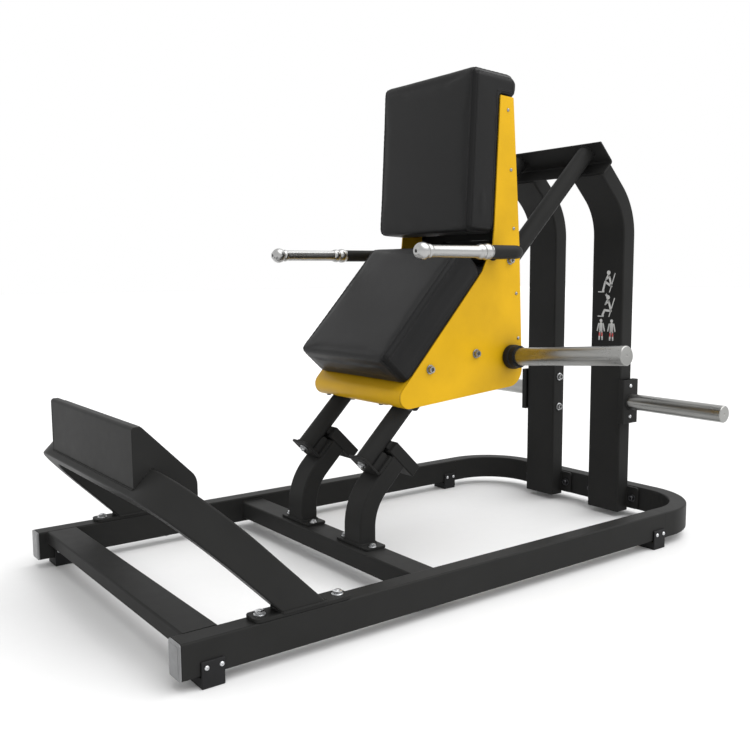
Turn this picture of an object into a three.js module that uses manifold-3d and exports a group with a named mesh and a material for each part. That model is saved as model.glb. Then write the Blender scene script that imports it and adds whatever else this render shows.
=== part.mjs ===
// Hack squat machine: a welded tube base, two bent uprights, two 45 degree guide rails
// and a padded carriage that slides up and down them.
// Millimetres, +Z up, +X to the machine's right, -Y towards the foot plate.
// Inside this file y is measured from the front ends of the side rails and z from the
// floor; the exported group is shifted so that its origin is the middle of the footprint.

import * as THREE from "three";
import { mergeVertices } from "three/addons/utils/BufferGeometryUtils.js";
import Module from "manifold-3d";

const wasm = await Module();
wasm.setup();

// ---------------------------------------------------------------- driving dimensions

const GAP = 0.3; // clearance kept between two pieces that touch
const WALL = 3; // wall of every tube
const CORNER = 5; // outer corner radius of every rectangular tube
const FACETS = 24; // sides of a round tube or bar
const DEG = Math.PI / 180;
const RISE = 45 * DEG; // slope of the guide rails
const ROOT_2 = Math.SQRT2;
const UP = new THREE.Vector3(0, 0, 1);
const RIGHT = new THREE.Vector3(1, 0, 0);

// base frame
const CLEARANCE = 24; // floor to the underside of the rails
const RAIL_W = 50;
const RAIL_H = 75;
const BASE_HALF = 477; // half the width over the side rails
const BASE_LENGTH = 1741;
const CORNER_R = 175; // centreline radius of the two rear corners
const CAP = 5;
const RAIL_X = BASE_HALF - RAIL_W / 2;
const RAIL_TOP = CLEARANCE + RAIL_H;
const HOOP_Y = BASE_LENGTH - RAIL_W / 2; // centreline of the rear bar
const HOOP_START = HOOP_Y - CORNER_R - 40; // where the side rails end and the hoop starts

// cross members between the side rails
const FRONT_BAR = { y: 67, depth: 80, height: 35 };
const MID_BAR = { y: 655, depth: 75, height: 50 };
const MID_BAR_TOP = CLEARANCE + (RAIL_H + MID_BAR.height) / 2;

// rubber feet
const FOOT = { length: 50, flap: 31, wall: 5, frontY: 68, rearY: 1470 };

// guide rails: their lower ends, in the machine's own y and z
const GUIDE = { x: 140.5, y: 673, z: 300.7, length: 1199.7, radius: 25.4 };
const SHOE = { width: 75, plate: 6, top: 27, length: 55, floor: 8, cheek: -10, cheekWidth: 58 };

// curved legs that carry the lower ends of the guide rails
const LEG = { width: 75, depth: 50, y: 660.5, offset: -66.4, end: 59.7, bend: 150 };
const LEG_PLATE = { length: 142, depth: 62, thickness: 7, back: 2 };
const LEG_HEAD = { start: 60, length: 35, bottom: -132 };

// uprights
const UPRIGHT = { x: 139.4, width: 122, depth: 54, y: 1663.7, foot: 17, bend: 190 };
const EAR = { width: 44, height: 70, thickness: 8, z: 62 };
const CROSSBAR = { half: 211, thickness: 6, shelf: -44, top: 30.4, inner: 1200 };

// storage horns
const STORE = { y: 1665.7, z: 378, reach: 19.3, width: 74, height: 140, wall: 6, length: 328 };
const HORN_R = 25;

// foot plate arch: a bent tube in a plane that leans 45 degrees towards the front
const ARCH = { width: 75, depth: 50, bend: 175, sum: 388.5, crown: 221.5, low: -260 };
const FLANGE = { y: 282, length: 235, thickness: 8 };
const BOX = { half: 265, front: 6, top: 484, back: 148, tread: 510, sheet: 4, opening: 30 };
const BOX_BACK_R = 40;
const BOX_TOP_R = 8;
const MAT = { y: 70, depth: 110, thickness: 3, border: 20, corner: 8 };

// carriage
const PLATE_X = 203; // outer face of the side plates
const INNER_X = 198; // their inner face
const PAD_HALF = 200;
const UPPER_PAD = { y: 983, z: 900, tilt: 3, height: 429, depth: 92, lip: 150, lipDrop: 56 };
const LOWER_PAD = { y: 695, z: 571, tilt: 47.5, length: 398, depth: 100 };
const BOARD = 15;
const UPPER_BOARD = { from: 12, to: 364 };
const LOWER_BOARD = { from: 34, to: 384 };
const PLATE_SHOULDER = [1072, 866, 10]; // y, z and radius of the corner between the pads
const PLATE_BACK = [1174, 865, 200]; // the soft bend half way up the rear edge
const BLOCK = { inner: 105, bottom: -36, top: 52 };
const LOWER_BLOCK = { start: 252, end: 342 };
const UPPER_BLOCK = { start: 610, back: 1156 };
const STOP = { collar: 18, collarR: 36, buffer: 30, bufferR: 33 };
const CROSS_TUBE = { size: 50, along: 435, offset: -56 };
const UNDERSIDE = { front: [704.5, 432], frontR: 30, back: [1192, 471], backR: 50 };
const NOSE = { sheet: 4, start: 24, end: 806, notchR: 39 };
const HORN = { y: 1144, z: 552, length: 400, tilt: 4.6, collar: 38, collarR: 34, axleR: 30, root: 5 };
const HORN_CHAMFER = 2;
const COVER_SHEET = 3;
const COVER_FLANGE = 18;
const UPPER_COVER = { top: [1137, 1262], bottom: [1170, 882], half: INNER_X - GAP }; // y, z of the outer face
const MIDDLE_COVER = { top: [1170.4, 879], bottom: [1174.8, 741], half: BLOCK.inner - 0.5 };
const LOWER_COVER = { top: [1175, 738], bottom: [1185, 585], half: INNER_X - GAP };

// handles
const HANDLE = { z: 842, y: 1071, x: 316.8, radius: 17.5, bend: 48, splay: 2.8, front: 945 };
const GRIP = { length: 256, radius: 15.5, knob: 21.5, collar: 23, collarAt: 24, neck: 26 };
const KNOB_HOLE = { radius: 4, depth: 8 };

// ---------------------------------------------------------------- materials

const material = (color, roughness, metalness) =>
  new THREE.MeshStandardMaterial({ color, roughness, metalness });

const black = () => material(0x2b2b2c, 0.45, 0.3);
const yellow = () => material(0xe0ac22, 0.4, 0.1);
const chrome = () => material(0xd8dadc, 0.15, 1.0);
const vinyl = () => material(0x1f2021, 0.55, 0.0);
const rubber = () => material(0x161616, 0.8, 0.0);
const plastic = () => material(0x8d9092, 0.5, 0.0);
const nylon = () => material(0x1a1a1b, 0.5, 0.0);
const plywood = () => material(0xa98a5e, 0.7, 0.0);
const aluminium = () => material(0x9da0a3, 0.4, 0.9);

// ---------------------------------------------------------------- solids

function toManifold(geometry) {
  const bare = geometry.clone();
  bare.deleteAttribute("normal");
  bare.deleteAttribute("uv");
  const merged = mergeVertices(bare, 1e-4);
  const vertProperties = new Float32Array(merged.attributes.position.array);
  const triVerts = new Uint32Array(merged.index.array);
  return new wasm.Manifold(new wasm.Mesh({ numProp: 3, vertProperties, triVerts }));
}

function fromManifold(solid) {
  const mesh = solid.getMesh();
  const geometry = new THREE.BufferGeometry();
  geometry.setAttribute("position", new THREE.BufferAttribute(mesh.vertProperties, 3));
  geometry.setIndex(new THREE.BufferAttribute(mesh.triVerts, 1));
  const faceted = geometry.toNonIndexed();
  faceted.computeVertexNormals();
  return faceted;
}

const cut = (a, ...tools) =>
  fromManifold(tools.reduce((solid, tool) => solid.subtract(toManifold(tool)), toManifold(a)));

const join = (a, ...others) =>
  fromManifold(others.reduce((solid, other) => solid.add(toManifold(other)), toManifold(a)));

const common = (a, b) => fromManifold(toManifold(a).intersect(toManifold(b)));

function roundedRectangle(width, height, radius) {
  const x = width / 2;
  const y = height / 2;
  const shape = new THREE.Shape();
  shape.moveTo(-x + radius, -y);
  shape.lineTo(x - radius, -y);
  shape.absarc(x - radius, -y + radius, radius, -Math.PI / 2, 0, false);
  shape.absarc(x - radius, y - radius, radius, 0, Math.PI / 2, false);
  shape.absarc(-x + radius, y - radius, radius, Math.PI / 2, Math.PI, false);
  shape.absarc(-x + radius, -y + radius, radius, Math.PI, 1.5 * Math.PI, false);
  return shape;
}

// A rectangular tube section with rounded outer corners and a bore along it.
function tubeSection(width, height) {
  const section = roundedRectangle(width, height, CORNER);
  const bore = roundedRectangle(width - 2 * WALL, height - 2 * WALL, CORNER - WALL);
  section.holes.push(new THREE.Path(bore.getPoints(1).reverse()));
  return section;
}

// Extrudes a shape along local Z, centred on z = 0.
function slab(shape, depth, curveSegments = 4) {
  const geometry = new THREE.ExtrudeGeometry(shape, { depth, bevelEnabled: false, curveSegments });
  return geometry.translate(0, 0, -depth / 2);
}

// Turns a profile drawn in (y, z) into a solid that spans x = from .. to.
function acrossX(shape, from, to, curveSegments = 4) {
  const geometry = new THREE.ExtrudeGeometry(shape, {
    depth: to - from,
    bevelEnabled: false,
    curveSegments,
  });
  const toYZ = new THREE.Matrix4().makeBasis(
    new THREE.Vector3(0, 1, 0),
    new THREE.Vector3(0, 0, 1),
    new THREE.Vector3(1, 0, 0)
  );
  return geometry.applyMatrix4(toYZ).translate(from, 0, 0);
}

function polygon(points) {
  return new THREE.Shape(points.map(([x, y]) => new THREE.Vector2(x, y)));
}

// A shape from corner points, each [x, y, radius]; the corners are rounded with arcs.
function roundedPolygon(corners, stepsPerCorner = 6) {
  const points = [];
  const count = corners.length;
  corners.forEach(([x, y, radius = 0], i) => {
    const here = new THREE.Vector2(x, y);
    if (radius === 0) {
      points.push(here);
      return;
    }
    const before = new THREE.Vector2(...corners[(i + count - 1) % count].slice(0, 2));
    const after = new THREE.Vector2(...corners[(i + 1) % count].slice(0, 2));
    points.push(...filletPoints(before, here, after, radius, stepsPerCorner));
  });
  return new THREE.Shape(points);
}

// Points on the arc that rounds the corner "here" between its two neighbours.
function filletPoints(before, here, after, radius, steps) {
  const into = here.clone().sub(before).normalize();
  const out = after.clone().sub(here).normalize();
  const turn = Math.atan2(into.cross(out), into.dot(out));
  const setback = radius * Math.tan(Math.abs(turn) / 2);
  const start = here.clone().addScaledVector(into, -setback);
  const side = Math.sign(turn);
  const centre = new THREE.Vector2(-into.y, into.x).multiplyScalar(side * radius).add(start);
  const points = [];
  for (let i = 0; i <= steps; i += 1) {
    points.push(start.clone().rotateAround(centre, (turn * i) / steps));
  }
  return points;
}

// Points along an open line of corners, each [x, y, radius], with rounded corners.
function openPath(corners, stepsPerCorner = 6) {
  const at = (i) => new THREE.Vector2(corners[i][0], corners[i][1]);
  const points = [];
  corners.forEach(([, , radius = 0], i) => {
    const isEnd = i === 0 || i === corners.length - 1;
    const rounded = radius > 0 && !isEnd;
    if (rounded) points.push(...filletPoints(at(i - 1), at(i), at(i + 1), radius, stepsPerCorner));
    else points.push(at(i));
  });
  return points.filter((point, i) => i === 0 || point.distanceTo(points[i - 1]) > 0.001);
}

// A strip of sheet: the line of points is one face, the other lies to its left.
function strip(points, thickness) {
  const last = points.length - 1;
  const offset = points.map((point, i) => {
    const into = point.clone().sub(points[Math.max(i - 1, 0)]).normalize();
    const out = points[Math.min(i + 1, last)].clone().sub(point).normalize();
    const along = into.clone().add(out).normalize();
    const stretch = i === 0 || i === last ? 1 : along.dot(into);
    return new THREE.Vector2(-along.y, along.x).multiplyScalar(thickness / stretch).add(point);
  });
  return new THREE.Shape([...points, ...offset.reverse()]);
}

// A path in a plane: straight runs joined by arcs. "place" maps plane coordinates to
// space, "normal" is the plane's normal, which stays the section's x direction.
class BentPath extends THREE.Curve {
  constructor(corners, toSpace, normal, stepsPerBend = 8) {
    super();
    const flat = openPath(corners, stepsPerBend);
    this.knots = flat.map((point) => toSpace(point.x, point.y));
    this.normal = normal.clone().normalize();
    this.last = this.knots.length - 1;
    this.tangents = this.knots.map((_, i) => this.tangentAtKnot(i));
  }

  tangentAtKnot(i) {
    const before = this.knots[Math.max(i - 1, 0)];
    const after = this.knots[Math.min(i + 1, this.last)];
    const into = this.knots[i].clone().sub(before).normalize();
    const out = after.clone().sub(this.knots[i]).normalize();
    return into.add(out).normalize();
  }

  getSpacedPoints() {
    return this.knots;
  }

  computeFrenetFrames() {
    const normals = this.knots.map(() => this.normal.clone());
    const binormals = this.tangents.map((t) => new THREE.Vector3().crossVectors(t, this.normal));
    return { tangents: this.tangents, normals, binormals };
  }
}

function sweep(section, path, curveSegments = 1) {
  return new THREE.ExtrudeGeometry(section, {
    steps: path.last,
    extrudePath: path,
    bevelEnabled: false,
    curveSegments,
  });
}

// A solid of revolution about local Z from [radius, z] points.
function turned(profile, segments = FACETS) {
  const points = profile.map(([radius, z]) => new THREE.Vector2(radius, z));
  return new THREE.LatheGeometry(points, segments).rotateX(Math.PI / 2);
}

const rod = (radius, from, to) => turned([[0, from], [radius, from], [radius, to], [0, to]]);

const ring = (inner, outer, from, to) =>
  turned([[inner, from], [outer, from], [outer, to], [inner, to], [inner, from]]);

function boxAt(width, depth, height, x, y, z) {
  return new THREE.BoxGeometry(width, depth, height).translate(x, y, z);
}

// ---------------------------------------------------------------- assembly helpers

const machine = new THREE.Group();
machine.name = "hack_squat";

// Everything inside this group uses x across, y up along the guide rails and z square
// to them, measured from the lower end of the rails' axes.
const incline = new THREE.Group();
incline.position.set(0, GUIDE.y, GUIDE.z);
incline.rotation.x = RISE;
machine.add(incline);

function place(parent, name, geometry, look) {
  const mesh = new THREE.Mesh(geometry, look);
  mesh.name = name;
  parent.add(mesh);
  return mesh;
}

const sides = [
  { name: "right", sign: 1 },
  { name: "left", sign: -1 },
];

// Mirrors a geometry across x = 0 and keeps its faces pointing out.
function mirrored(geometry) {
  const flat = geometry.index ? geometry.toNonIndexed() : geometry.clone();
  const source = flat.attributes.position;
  const result = new Float32Array(source.count * 3);
  for (let i = 0; i < source.count; i += 1) {
    const from = i - (i % 3) + [0, 2, 1][i % 3];
    result.set([-source.getX(from), source.getY(from), source.getZ(from)], i * 3);
  }
  const geometryOut = new THREE.BufferGeometry();
  geometryOut.setAttribute("position", new THREE.BufferAttribute(result, 3));
  geometryOut.computeVertexNormals();
  return geometryOut;
}

// Adds a piece made for the right-hand side, and its mirror image on the left.
function placePair(parent, name, geometry, look) {
  for (const { name: side, sign } of sides) {
    place(parent, `${name}_${side}`, sign > 0 ? geometry : mirrored(geometry), look());
  }
}

// ---------------------------------------------------------------- base frame

function sideRail() {
  const length = HOOP_START - CAP - GAP;
  const section = tubeSection(RAIL_W, RAIL_H);
  const bar = slab(section, length - GAP, 1).rotateX(Math.PI / 2);
  return bar.translate(RAIL_X, CAP + GAP + length / 2 - GAP / 2, CLEARANCE + RAIL_H / 2);
}

function rearHoop() {
  const corners = [
    [RAIL_X, HOOP_START],
    [RAIL_X, HOOP_Y, CORNER_R],
    [-RAIL_X, HOOP_Y, CORNER_R],
    [-RAIL_X, HOOP_START],
  ];
  const level = CLEARANCE + RAIL_H / 2;
  const path = new BentPath(corners, (x, y) => new THREE.Vector3(x, y, level), UP);
  return sweep(tubeSection(RAIL_H, RAIL_W), path);
}

function crossMember(bar, bottom) {
  const span = 2 * (BASE_HALF - RAIL_W - GAP);
  const section = tubeSection(bar.depth, bar.height);
  const tube = slab(section, span, 1).rotateX(Math.PI / 2).rotateZ(Math.PI / 2);
  return tube.translate(0, bar.y, bottom + bar.height / 2);
}

function endCap() {
  const cap = slab(roundedRectangle(RAIL_W, RAIL_H, 5), CAP, 2).rotateX(Math.PI / 2);
  return cap.translate(RAIL_X, CAP / 2, CLEARANCE + RAIL_H / 2);
}

// A rubber shoe: a block under the rail with a screwed flap up each side of it.
function foot(y) {
  const half = RAIL_W / 2 + GAP;
  const outer = half + FOOT.wall;
  const top = CLEARANCE + FOOT.flap;
  const under = CLEARANCE - GAP;
  const profile = polygon([
    [-outer, 0],
    [outer, 0],
    [outer, top],
    [half, top],
    [half, under],
    [-half, under],
    [-half, top],
    [-outer, top],
  ]);
  const shoe = slab(profile, FOOT.length).rotateX(Math.PI / 2);
  const flapOutline = roundedPolygon([
    [-FOOT.length / 2, 0],
    [FOOT.length / 2, 0],
    [FOOT.length / 2, top, 8],
    [-FOOT.length / 2, top, 8],
  ]);
  return common(shoe, acrossX(flapOutline, -outer, outer)).translate(RAIL_X, y, 0);
}

// ---------------------------------------------------------------- guide rails and legs

function guideRail() {
  return ring(GUIDE.radius - WALL, GUIDE.radius, 0, GUIDE.length)
    .rotateX(-Math.PI / 2)
    .translate(GUIDE.x, 0, 0);
}

// End plate, floor plate and cheek under the lower end of a guide rail, welded into one shoe.
function guideShoe() {
  const bottom = LEG.offset + LEG.depth / 2 + GAP;
  const height = SHOE.top - bottom;
  const outline = roundedRectangle(SHOE.width, height, 6);
  const plate = slab(outline, SHOE.plate, 2)
    .rotateX(Math.PI / 2)
    .translate(GUIDE.x, -GAP - SHOE.plate / 2, bottom + height / 2);
  const length = SHOE.length + GAP + 1;
  const middle = SHOE.length - length / 2;
  const floor = boxAt(SHOE.width, length, SHOE.floor, GUIDE.x, middle, bottom + SHOE.floor / 2);
  const cheek = SHOE.cheek - bottom;
  const block = boxAt(SHOE.cheekWidth, length, cheek, GUIDE.x, middle, bottom + cheek / 2);
  const groove = rod(GUIDE.radius + GAP, -GAP, SHOE.length + 10)
    .rotateX(-Math.PI / 2)
    .translate(GUIDE.x, 0, 0);
  return cut(join(plate, floor, block), groove);
}

function leg() {
  const foot = MID_BAR_TOP + LEG_PLATE.thickness + GAP;
  const top = pointOnMachine(LEG.end, LEG.offset);
  const kneeZ = top.z - (top.y - LEG.y);
  const corners = [
    [LEG.y, foot],
    [LEG.y, kneeZ, LEG.bend],
    [top.y, top.z],
  ];
  const path = new BentPath(corners, (y, z) => new THREE.Vector3(GUIDE.x, y, z), RIGHT);
  return sweep(tubeSection(LEG.width, LEG.depth), path);
}

// The machine's y and z of a point given along and square to the guide rails.
function pointOnMachine(along, square) {
  return { y: GUIDE.y + (along - square) / ROOT_2, z: GUIDE.z + (along + square) / ROOT_2 };
}

function legBasePlate() {
  const plate = slab(roundedRectangle(LEG_PLATE.length, LEG_PLATE.depth, 6), LEG_PLATE.thickness, 2);
  const level = MID_BAR_TOP + GAP / 2 + LEG_PLATE.thickness / 2;
  return plate.translate(GUIDE.x, LEG.y + LEG_PLATE.back, level);
}

// A bar across the leg's upper end: it closes the leg and props the guide rail.
function legHead() {
  const top = -GUIDE.radius - GAP;
  const height = top - LEG_HEAD.bottom;
  return boxAt(
    LEG.width,
    LEG_HEAD.length,
    height,
    GUIDE.x,
    LEG_HEAD.start + LEG_HEAD.length / 2,
    LEG_HEAD.bottom + height / 2
  );
}

function stopCollar() {
  const end = LOWER_BLOCK.start - STOP.buffer - 2 * GAP;
  return ring(GUIDE.radius + GAP, STOP.collarR, end - STOP.collar, end)
    .rotateX(-Math.PI / 2)
    .translate(GUIDE.x, 0, 0);
}

function stopBuffer() {
  const end = LOWER_BLOCK.start - GAP;
  return ring(GUIDE.radius + GAP, STOP.bufferR, end - STOP.buffer, end)
    .rotateX(-Math.PI / 2)
    .translate(GUIDE.x, 0, 0);
}

// ---------------------------------------------------------------- uprights and top

// A bent rectangular tube with two bolting ears at its foot.
function upright() {
  const web = CROSSBAR.inner + CROSSBAR.thickness;
  const top = pointOnMachine(web - UPRIGHT.depth / 2, CROSSBAR.shelf - CROSSBAR.thickness - GAP);
  const kneeZ = top.z - (UPRIGHT.y - top.y);
  const corners = [
    [UPRIGHT.y, UPRIGHT.foot],
    [UPRIGHT.y, kneeZ, UPRIGHT.bend],
    [top.y, top.z],
  ];
  const path = new BentPath(corners, (y, z) => new THREE.Vector3(UPRIGHT.x, y, z), RIGHT);
  const tube = sweep(tubeSection(UPRIGHT.width, UPRIGHT.depth), path);
  const back = UPRIGHT.y + UPRIGHT.depth / 2;
  const reach = UPRIGHT.width / 2 + EAR.width;
  const strip = slab(roundedRectangle(2 * reach, EAR.height, 10), EAR.thickness, 2)
    .rotateX(Math.PI / 2)
    .translate(UPRIGHT.x, back - EAR.thickness / 2, EAR.z);
  const window = boxAt(
    UPRIGHT.width - 2,
    UPRIGHT.depth - 2,
    2 * EAR.height,
    UPRIGHT.x,
    back - UPRIGHT.depth / 2 - 1,
    EAR.z
  );
  const ears = cut(strip, window.clone().translate(0, 10, 0));
  return join(tube, earHalf(ears, 1), earHalf(ears, -1));
}

function earHalf(ears, side) {
  const half = boxAt(400, 400, 400, UPRIGHT.x + side * 200, UPRIGHT.y, EAR.z);
  return common(ears, half);
}

// An angle across the tops of the uprights; the guide rails end against its web.
function topCrossbar() {
  const web = CROSSBAR.inner + CROSSBAR.thickness;
  const front = web - UPRIGHT.depth;
  const profile = roundedPolygon([
    [front, CROSSBAR.shelf - CROSSBAR.thickness, 2],
    [web, CROSSBAR.shelf - CROSSBAR.thickness, 12],
    [web, CROSSBAR.top, 2],
    [CROSSBAR.inner, CROSSBAR.top, 2],
    [CROSSBAR.inner, CROSSBAR.shelf, 6],
    [front, CROSSBAR.shelf, 2],
  ]);
  return acrossX(profile, -CROSSBAR.half, CROSSBAR.half);
}

// ---------------------------------------------------------------- plate storage

// A channel bolted on the outer side of an upright.
function storageBracket() {
  const root = UPRIGHT.x + UPRIGHT.width / 2 + GAP;
  const face = root + STORE.reach;
  const half = STORE.width / 2;
  const profile = roundedPolygon([
    [root, -half],
    [face, -half, 5],
    [face, half, 5],
    [root, half],
    [root, half - STORE.wall],
    [face - STORE.wall, half - STORE.wall],
    [face - STORE.wall, -half + STORE.wall],
    [root, -half + STORE.wall],
  ]);
  return slab(profile, STORE.height).translate(0, STORE.y, STORE.z);
}

function storageHorn() {
  const root = UPRIGHT.x + UPRIGHT.width / 2 + STORE.reach + 2 * GAP;
  return hornBar(0, STORE.length).rotateY(Math.PI / 2).translate(root, STORE.y, STORE.z);
}

// A solid round bar along local Z with a chamfered outer end.
function hornBar(from, to) {
  return turned([
    [0, from],
    [HORN_R, from],
    [HORN_R, to - HORN_CHAMFER],
    [HORN_R - HORN_CHAMFER, to],
    [0, to],
  ]);
}

// ---------------------------------------------------------------- foot plate

// The arch's plane contains x and the downhill direction; "up" runs up that plane.
const ARCH_UP = new THREE.Vector3(0, -1, 1).normalize();
const ARCH_NORMAL = new THREE.Vector3(0, 1, 1).normalize();

function footArch() {
  const middle = ARCH.sum / ROOT_2; // distance of the arch's plane from the x axis
  const toSpace = (x, up) =>
    new THREE.Vector3(x, 0, 0)
      .addScaledVector(ARCH_NORMAL, middle)
      .addScaledVector(ARCH_UP, up);
  const corners = [
    [RAIL_X, ARCH.low],
    [RAIL_X, ARCH.crown, ARCH.bend],
    [-RAIL_X, ARCH.crown, ARCH.bend],
    [-RAIL_X, ARCH.low],
  ];
  const path = new BentPath(corners, toSpace, ARCH_NORMAL);
  const tube = sweep(tubeSection(ARCH.width, ARCH.depth), path);
  const under = RAIL_TOP + FLANGE.thickness + 2 * GAP;
  return cut(tube, boxAt(1200, 1200, 400, 0, 200, under - 200));
}

function archFlange() {
  const plate = slab(roundedRectangle(RAIL_W, FLANGE.length, 12), FLANGE.thickness, 2);
  return plate.translate(RAIL_X, FLANGE.y, RAIL_TOP + GAP + FLANGE.thickness / 2);
}

// The y and z where the arch's crown has the given level up its plane and face offset.
function archPoint(up, out) {
  const middle = ARCH.sum / ROOT_2 + out;
  return [(middle - up) / ROOT_2, (middle + up) / ROOT_2];
}

// A folded sheet box, open underneath, that sits on the crown of the arch.
function footBox() {
  const crownOuter = ARCH.crown + ARCH.depth / 2 + GAP;
  const backFace = ARCH.width / 2 + GAP;
  const corner = archPoint(crownOuter, backFace);
  const rise = corner[1] - corner[0]; // z - y on the crown's outer face
  const lean = corner[1] + corner[0]; // y + z on the crown's rear face
  const outline = (inset, drop) => {
    const front = BOX.front + inset;
    const top = BOX.top - inset;
    const back = BOX.back - inset;
    const slope = BOX.tread - inset * ROOT_2; // y + z on the sloping tread
    return roundedPolygon([
      [front, front + rise - drop],
      [corner[0] - drop, corner[1] - drop],
      [back, lean - back - drop * 2],
      [back, slope - back, BOX_BACK_R - inset],
      [slope - top, top, BOX_TOP_R],
      [front, top, BOX_TOP_R],
    ]);
  };
  const skin = acrossX(outline(0, 0), -BOX.half, BOX.half);
  const hollow = acrossX(outline(BOX.sheet, BOX.opening), -BOX.half + BOX.sheet, BOX.half - BOX.sheet);
  return cut(skin, hollow);
}

function treadMat() {
  const width = 2 * (BOX.half - MAT.border);
  const lift = (MAT.thickness / 2 + GAP) / ROOT_2;
  return slab(roundedRectangle(width, MAT.depth, MAT.corner), MAT.thickness, 2)
    .rotateX(-RISE)
    .translate(0, MAT.y + lift, BOX.tread - MAT.y + lift);
}

// ---------------------------------------------------------------- carriage

// Side plate outline in y and z: front edge behind the two pads, a notch for the
// handle bar, a tapering back edge and a sloping bottom edge.
function sidePlate() {
  const upperBack = padPoint(UPPER_PAD, UPPER_PAD.depth + GAP);
  const lowerBack = padPoint(LOWER_PAD, LOWER_PAD.depth + GAP);
  const underLip = UPPER_PAD.height - UPPER_PAD.lipDrop - 2;
  const outline = roundedPolygon([
    [...lowerBack(LOWER_PAD.length - 6), 0],
    PLATE_SHOULDER,
    [...upperBack(8), 10],
    upperBack(underLip),
    [...padPoint(UPPER_PAD, UPPER_PAD.lip - 8)(underLip), 3],
    PLATE_BACK,
    [...UNDERSIDE.back, UNDERSIDE.backR],
    [...UNDERSIDE.front, UNDERSIDE.frontR],
  ]);
  const plate = acrossX(outline, INNER_X, PLATE_X);
  const bar = rod(HANDLE.radius + GAP, INNER_X - 5, PLATE_X + 5)
    .rotateY(Math.PI / 2)
    .translate(0, HANDLE.y, HANDLE.z);
  return cut(plate, bar);
}

// The height of the side plates' bottom edge at a given y.
function undersideZ(y) {
  const [frontY, frontZ] = UNDERSIDE.front;
  const [backY, backZ] = UNDERSIDE.back;
  return frontZ + ((y - frontY) * (backZ - frontZ)) / (backY - frontY);
}

// Returns a function that gives the y and z of a point "up" a pad at the given depth.
function padPoint(pad, depth) {
  const lean = pad === LOWER_PAD ? pad.tilt * DEG : (90 - pad.tilt) * DEG;
  const upward = [Math.cos(lean), Math.sin(lean)];
  const inward = [Math.sin(lean), -Math.cos(lean)];
  return (up) => [
    pad.y + up * upward[0] + depth * inward[0],
    pad.z + up * upward[1] + depth * inward[1],
  ];
}

function upperPad() {
  const { depth, height, lip, lipDrop } = UPPER_PAD;
  const profile = roundedPolygon([
    [0, 0, 14],
    [depth, 0, 10],
    [depth, height - lipDrop, 0],
    [lip, height - lipDrop, 14],
    [lip, height, 22],
    [0, height, 14],
  ]);
  const pad = acrossX(profile, -PAD_HALF, PAD_HALF);
  return pad.rotateX(-UPPER_PAD.tilt * DEG).translate(0, UPPER_PAD.y, UPPER_PAD.z);
}

function lowerPad() {
  const { depth, length } = LOWER_PAD;
  const profile = roundedPolygon([
    [0, 0, 14],
    [depth, 0, 10],
    [depth, length, 22],
    [0, length, 22],
  ]);
  const pad = acrossX(profile, -PAD_HALF, PAD_HALF);
  const lean = (90 - LOWER_PAD.tilt) * DEG;
  return pad.rotateX(-lean).translate(0, LOWER_PAD.y, LOWER_PAD.z);
}

// A plywood board behind a pad, between the side plates.
function padBoard(pad, { from, to }) {
  const lean = pad === LOWER_PAD ? (90 - pad.tilt) * DEG : pad.tilt * DEG;
  const length = to - from;
  const board = boxAt(
    2 * (INNER_X - 1),
    BOARD,
    length,
    0,
    pad.depth + GAP + BOARD / 2,
    from + length / 2
  );
  return board.rotateX(-lean).translate(0, pad.y, pad.z);
}

// The folded sheet that closes the carriage below the lower pad, notched for the rails.
function frontNose() {
  const [startY, startZ] = padPoint(LOWER_PAD, LOWER_PAD.depth + GAP)(NOSE.start);
  const outer = openPath([
    [startY, startZ],
    [...UNDERSIDE.front, UNDERSIDE.frontR],
    [NOSE.end, undersideZ(NOSE.end)],
  ]);
  const sheet = acrossX(strip(outer, NOSE.sheet), -INNER_X + GAP, INNER_X - GAP);
  const notches = sides.map(({ sign }) =>
    rod(NOSE.notchR, 0, 400)
      .rotateX(RISE - Math.PI / 2)
      .translate(sign * GUIDE.x, GUIDE.y, GUIDE.z)
  );
  return cut(sheet, ...notches);
}

// A flanged cover behind the carriage, leaning with the back edge of the side plates.
function rearCover(cover) {
  const profile = strip(
    openPath([
      [-cover.half, -COVER_FLANGE],
      [-cover.half, 0, 6],
      [cover.half, 0, 6],
      [cover.half, -COVER_FLANGE],
    ]),
    -COVER_SHEET
  );
  const lean = Math.atan2(cover.bottom[0] - cover.top[0], cover.top[1] - cover.bottom[1]);
  const length = Math.hypot(cover.bottom[0] - cover.top[0], cover.top[1] - cover.bottom[1]);
  return slab(profile, length)
    .rotateX(lean)
    .translate(0, (cover.top[0] + cover.bottom[0]) / 2, (cover.top[1] + cover.bottom[1]) / 2);
}

// A square tube between the side plates, under the guide rails.
function crossTube() {
  const section = tubeSection(CROSS_TUBE.size, CROSS_TUBE.size);
  return slab(section, 2 * (INNER_X - GAP), 1)
    .rotateY(Math.PI / 2)
    .translate(0, CROSS_TUBE.along, CROSS_TUBE.offset);
}

// A round tube between the side plates, in line with the weight horns.
function hornAxle() {
  const half = INNER_X - GAP;
  return ring(HORN.axleR - WALL, HORN.axleR, -half, half)
    .rotateY(Math.PI / 2)
    .translate(0, HORN.y, HORN.z);
}

// Turns a bearing block's side profile, drawn along and square to the rail, into a
// housing bored for the guide rail.
function bearingBlock(corners) {
  const housing = acrossX(roundedPolygon(corners), BLOCK.inner, INNER_X - GAP);
  const bore = rod(GUIDE.radius + GAP, 0, GUIDE.length)
    .rotateX(-Math.PI / 2)
    .translate(GUIDE.x, 0, 0);
  return cut(housing, bore);
}

function lowerBlock() {
  return bearingBlock([
    [LOWER_BLOCK.start, BLOCK.bottom, 4],
    [LOWER_BLOCK.end, BLOCK.bottom, 4],
    [LOWER_BLOCK.end, BLOCK.top, 4],
    [LOWER_BLOCK.start, BLOCK.top, 4],
  ]);
}

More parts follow.
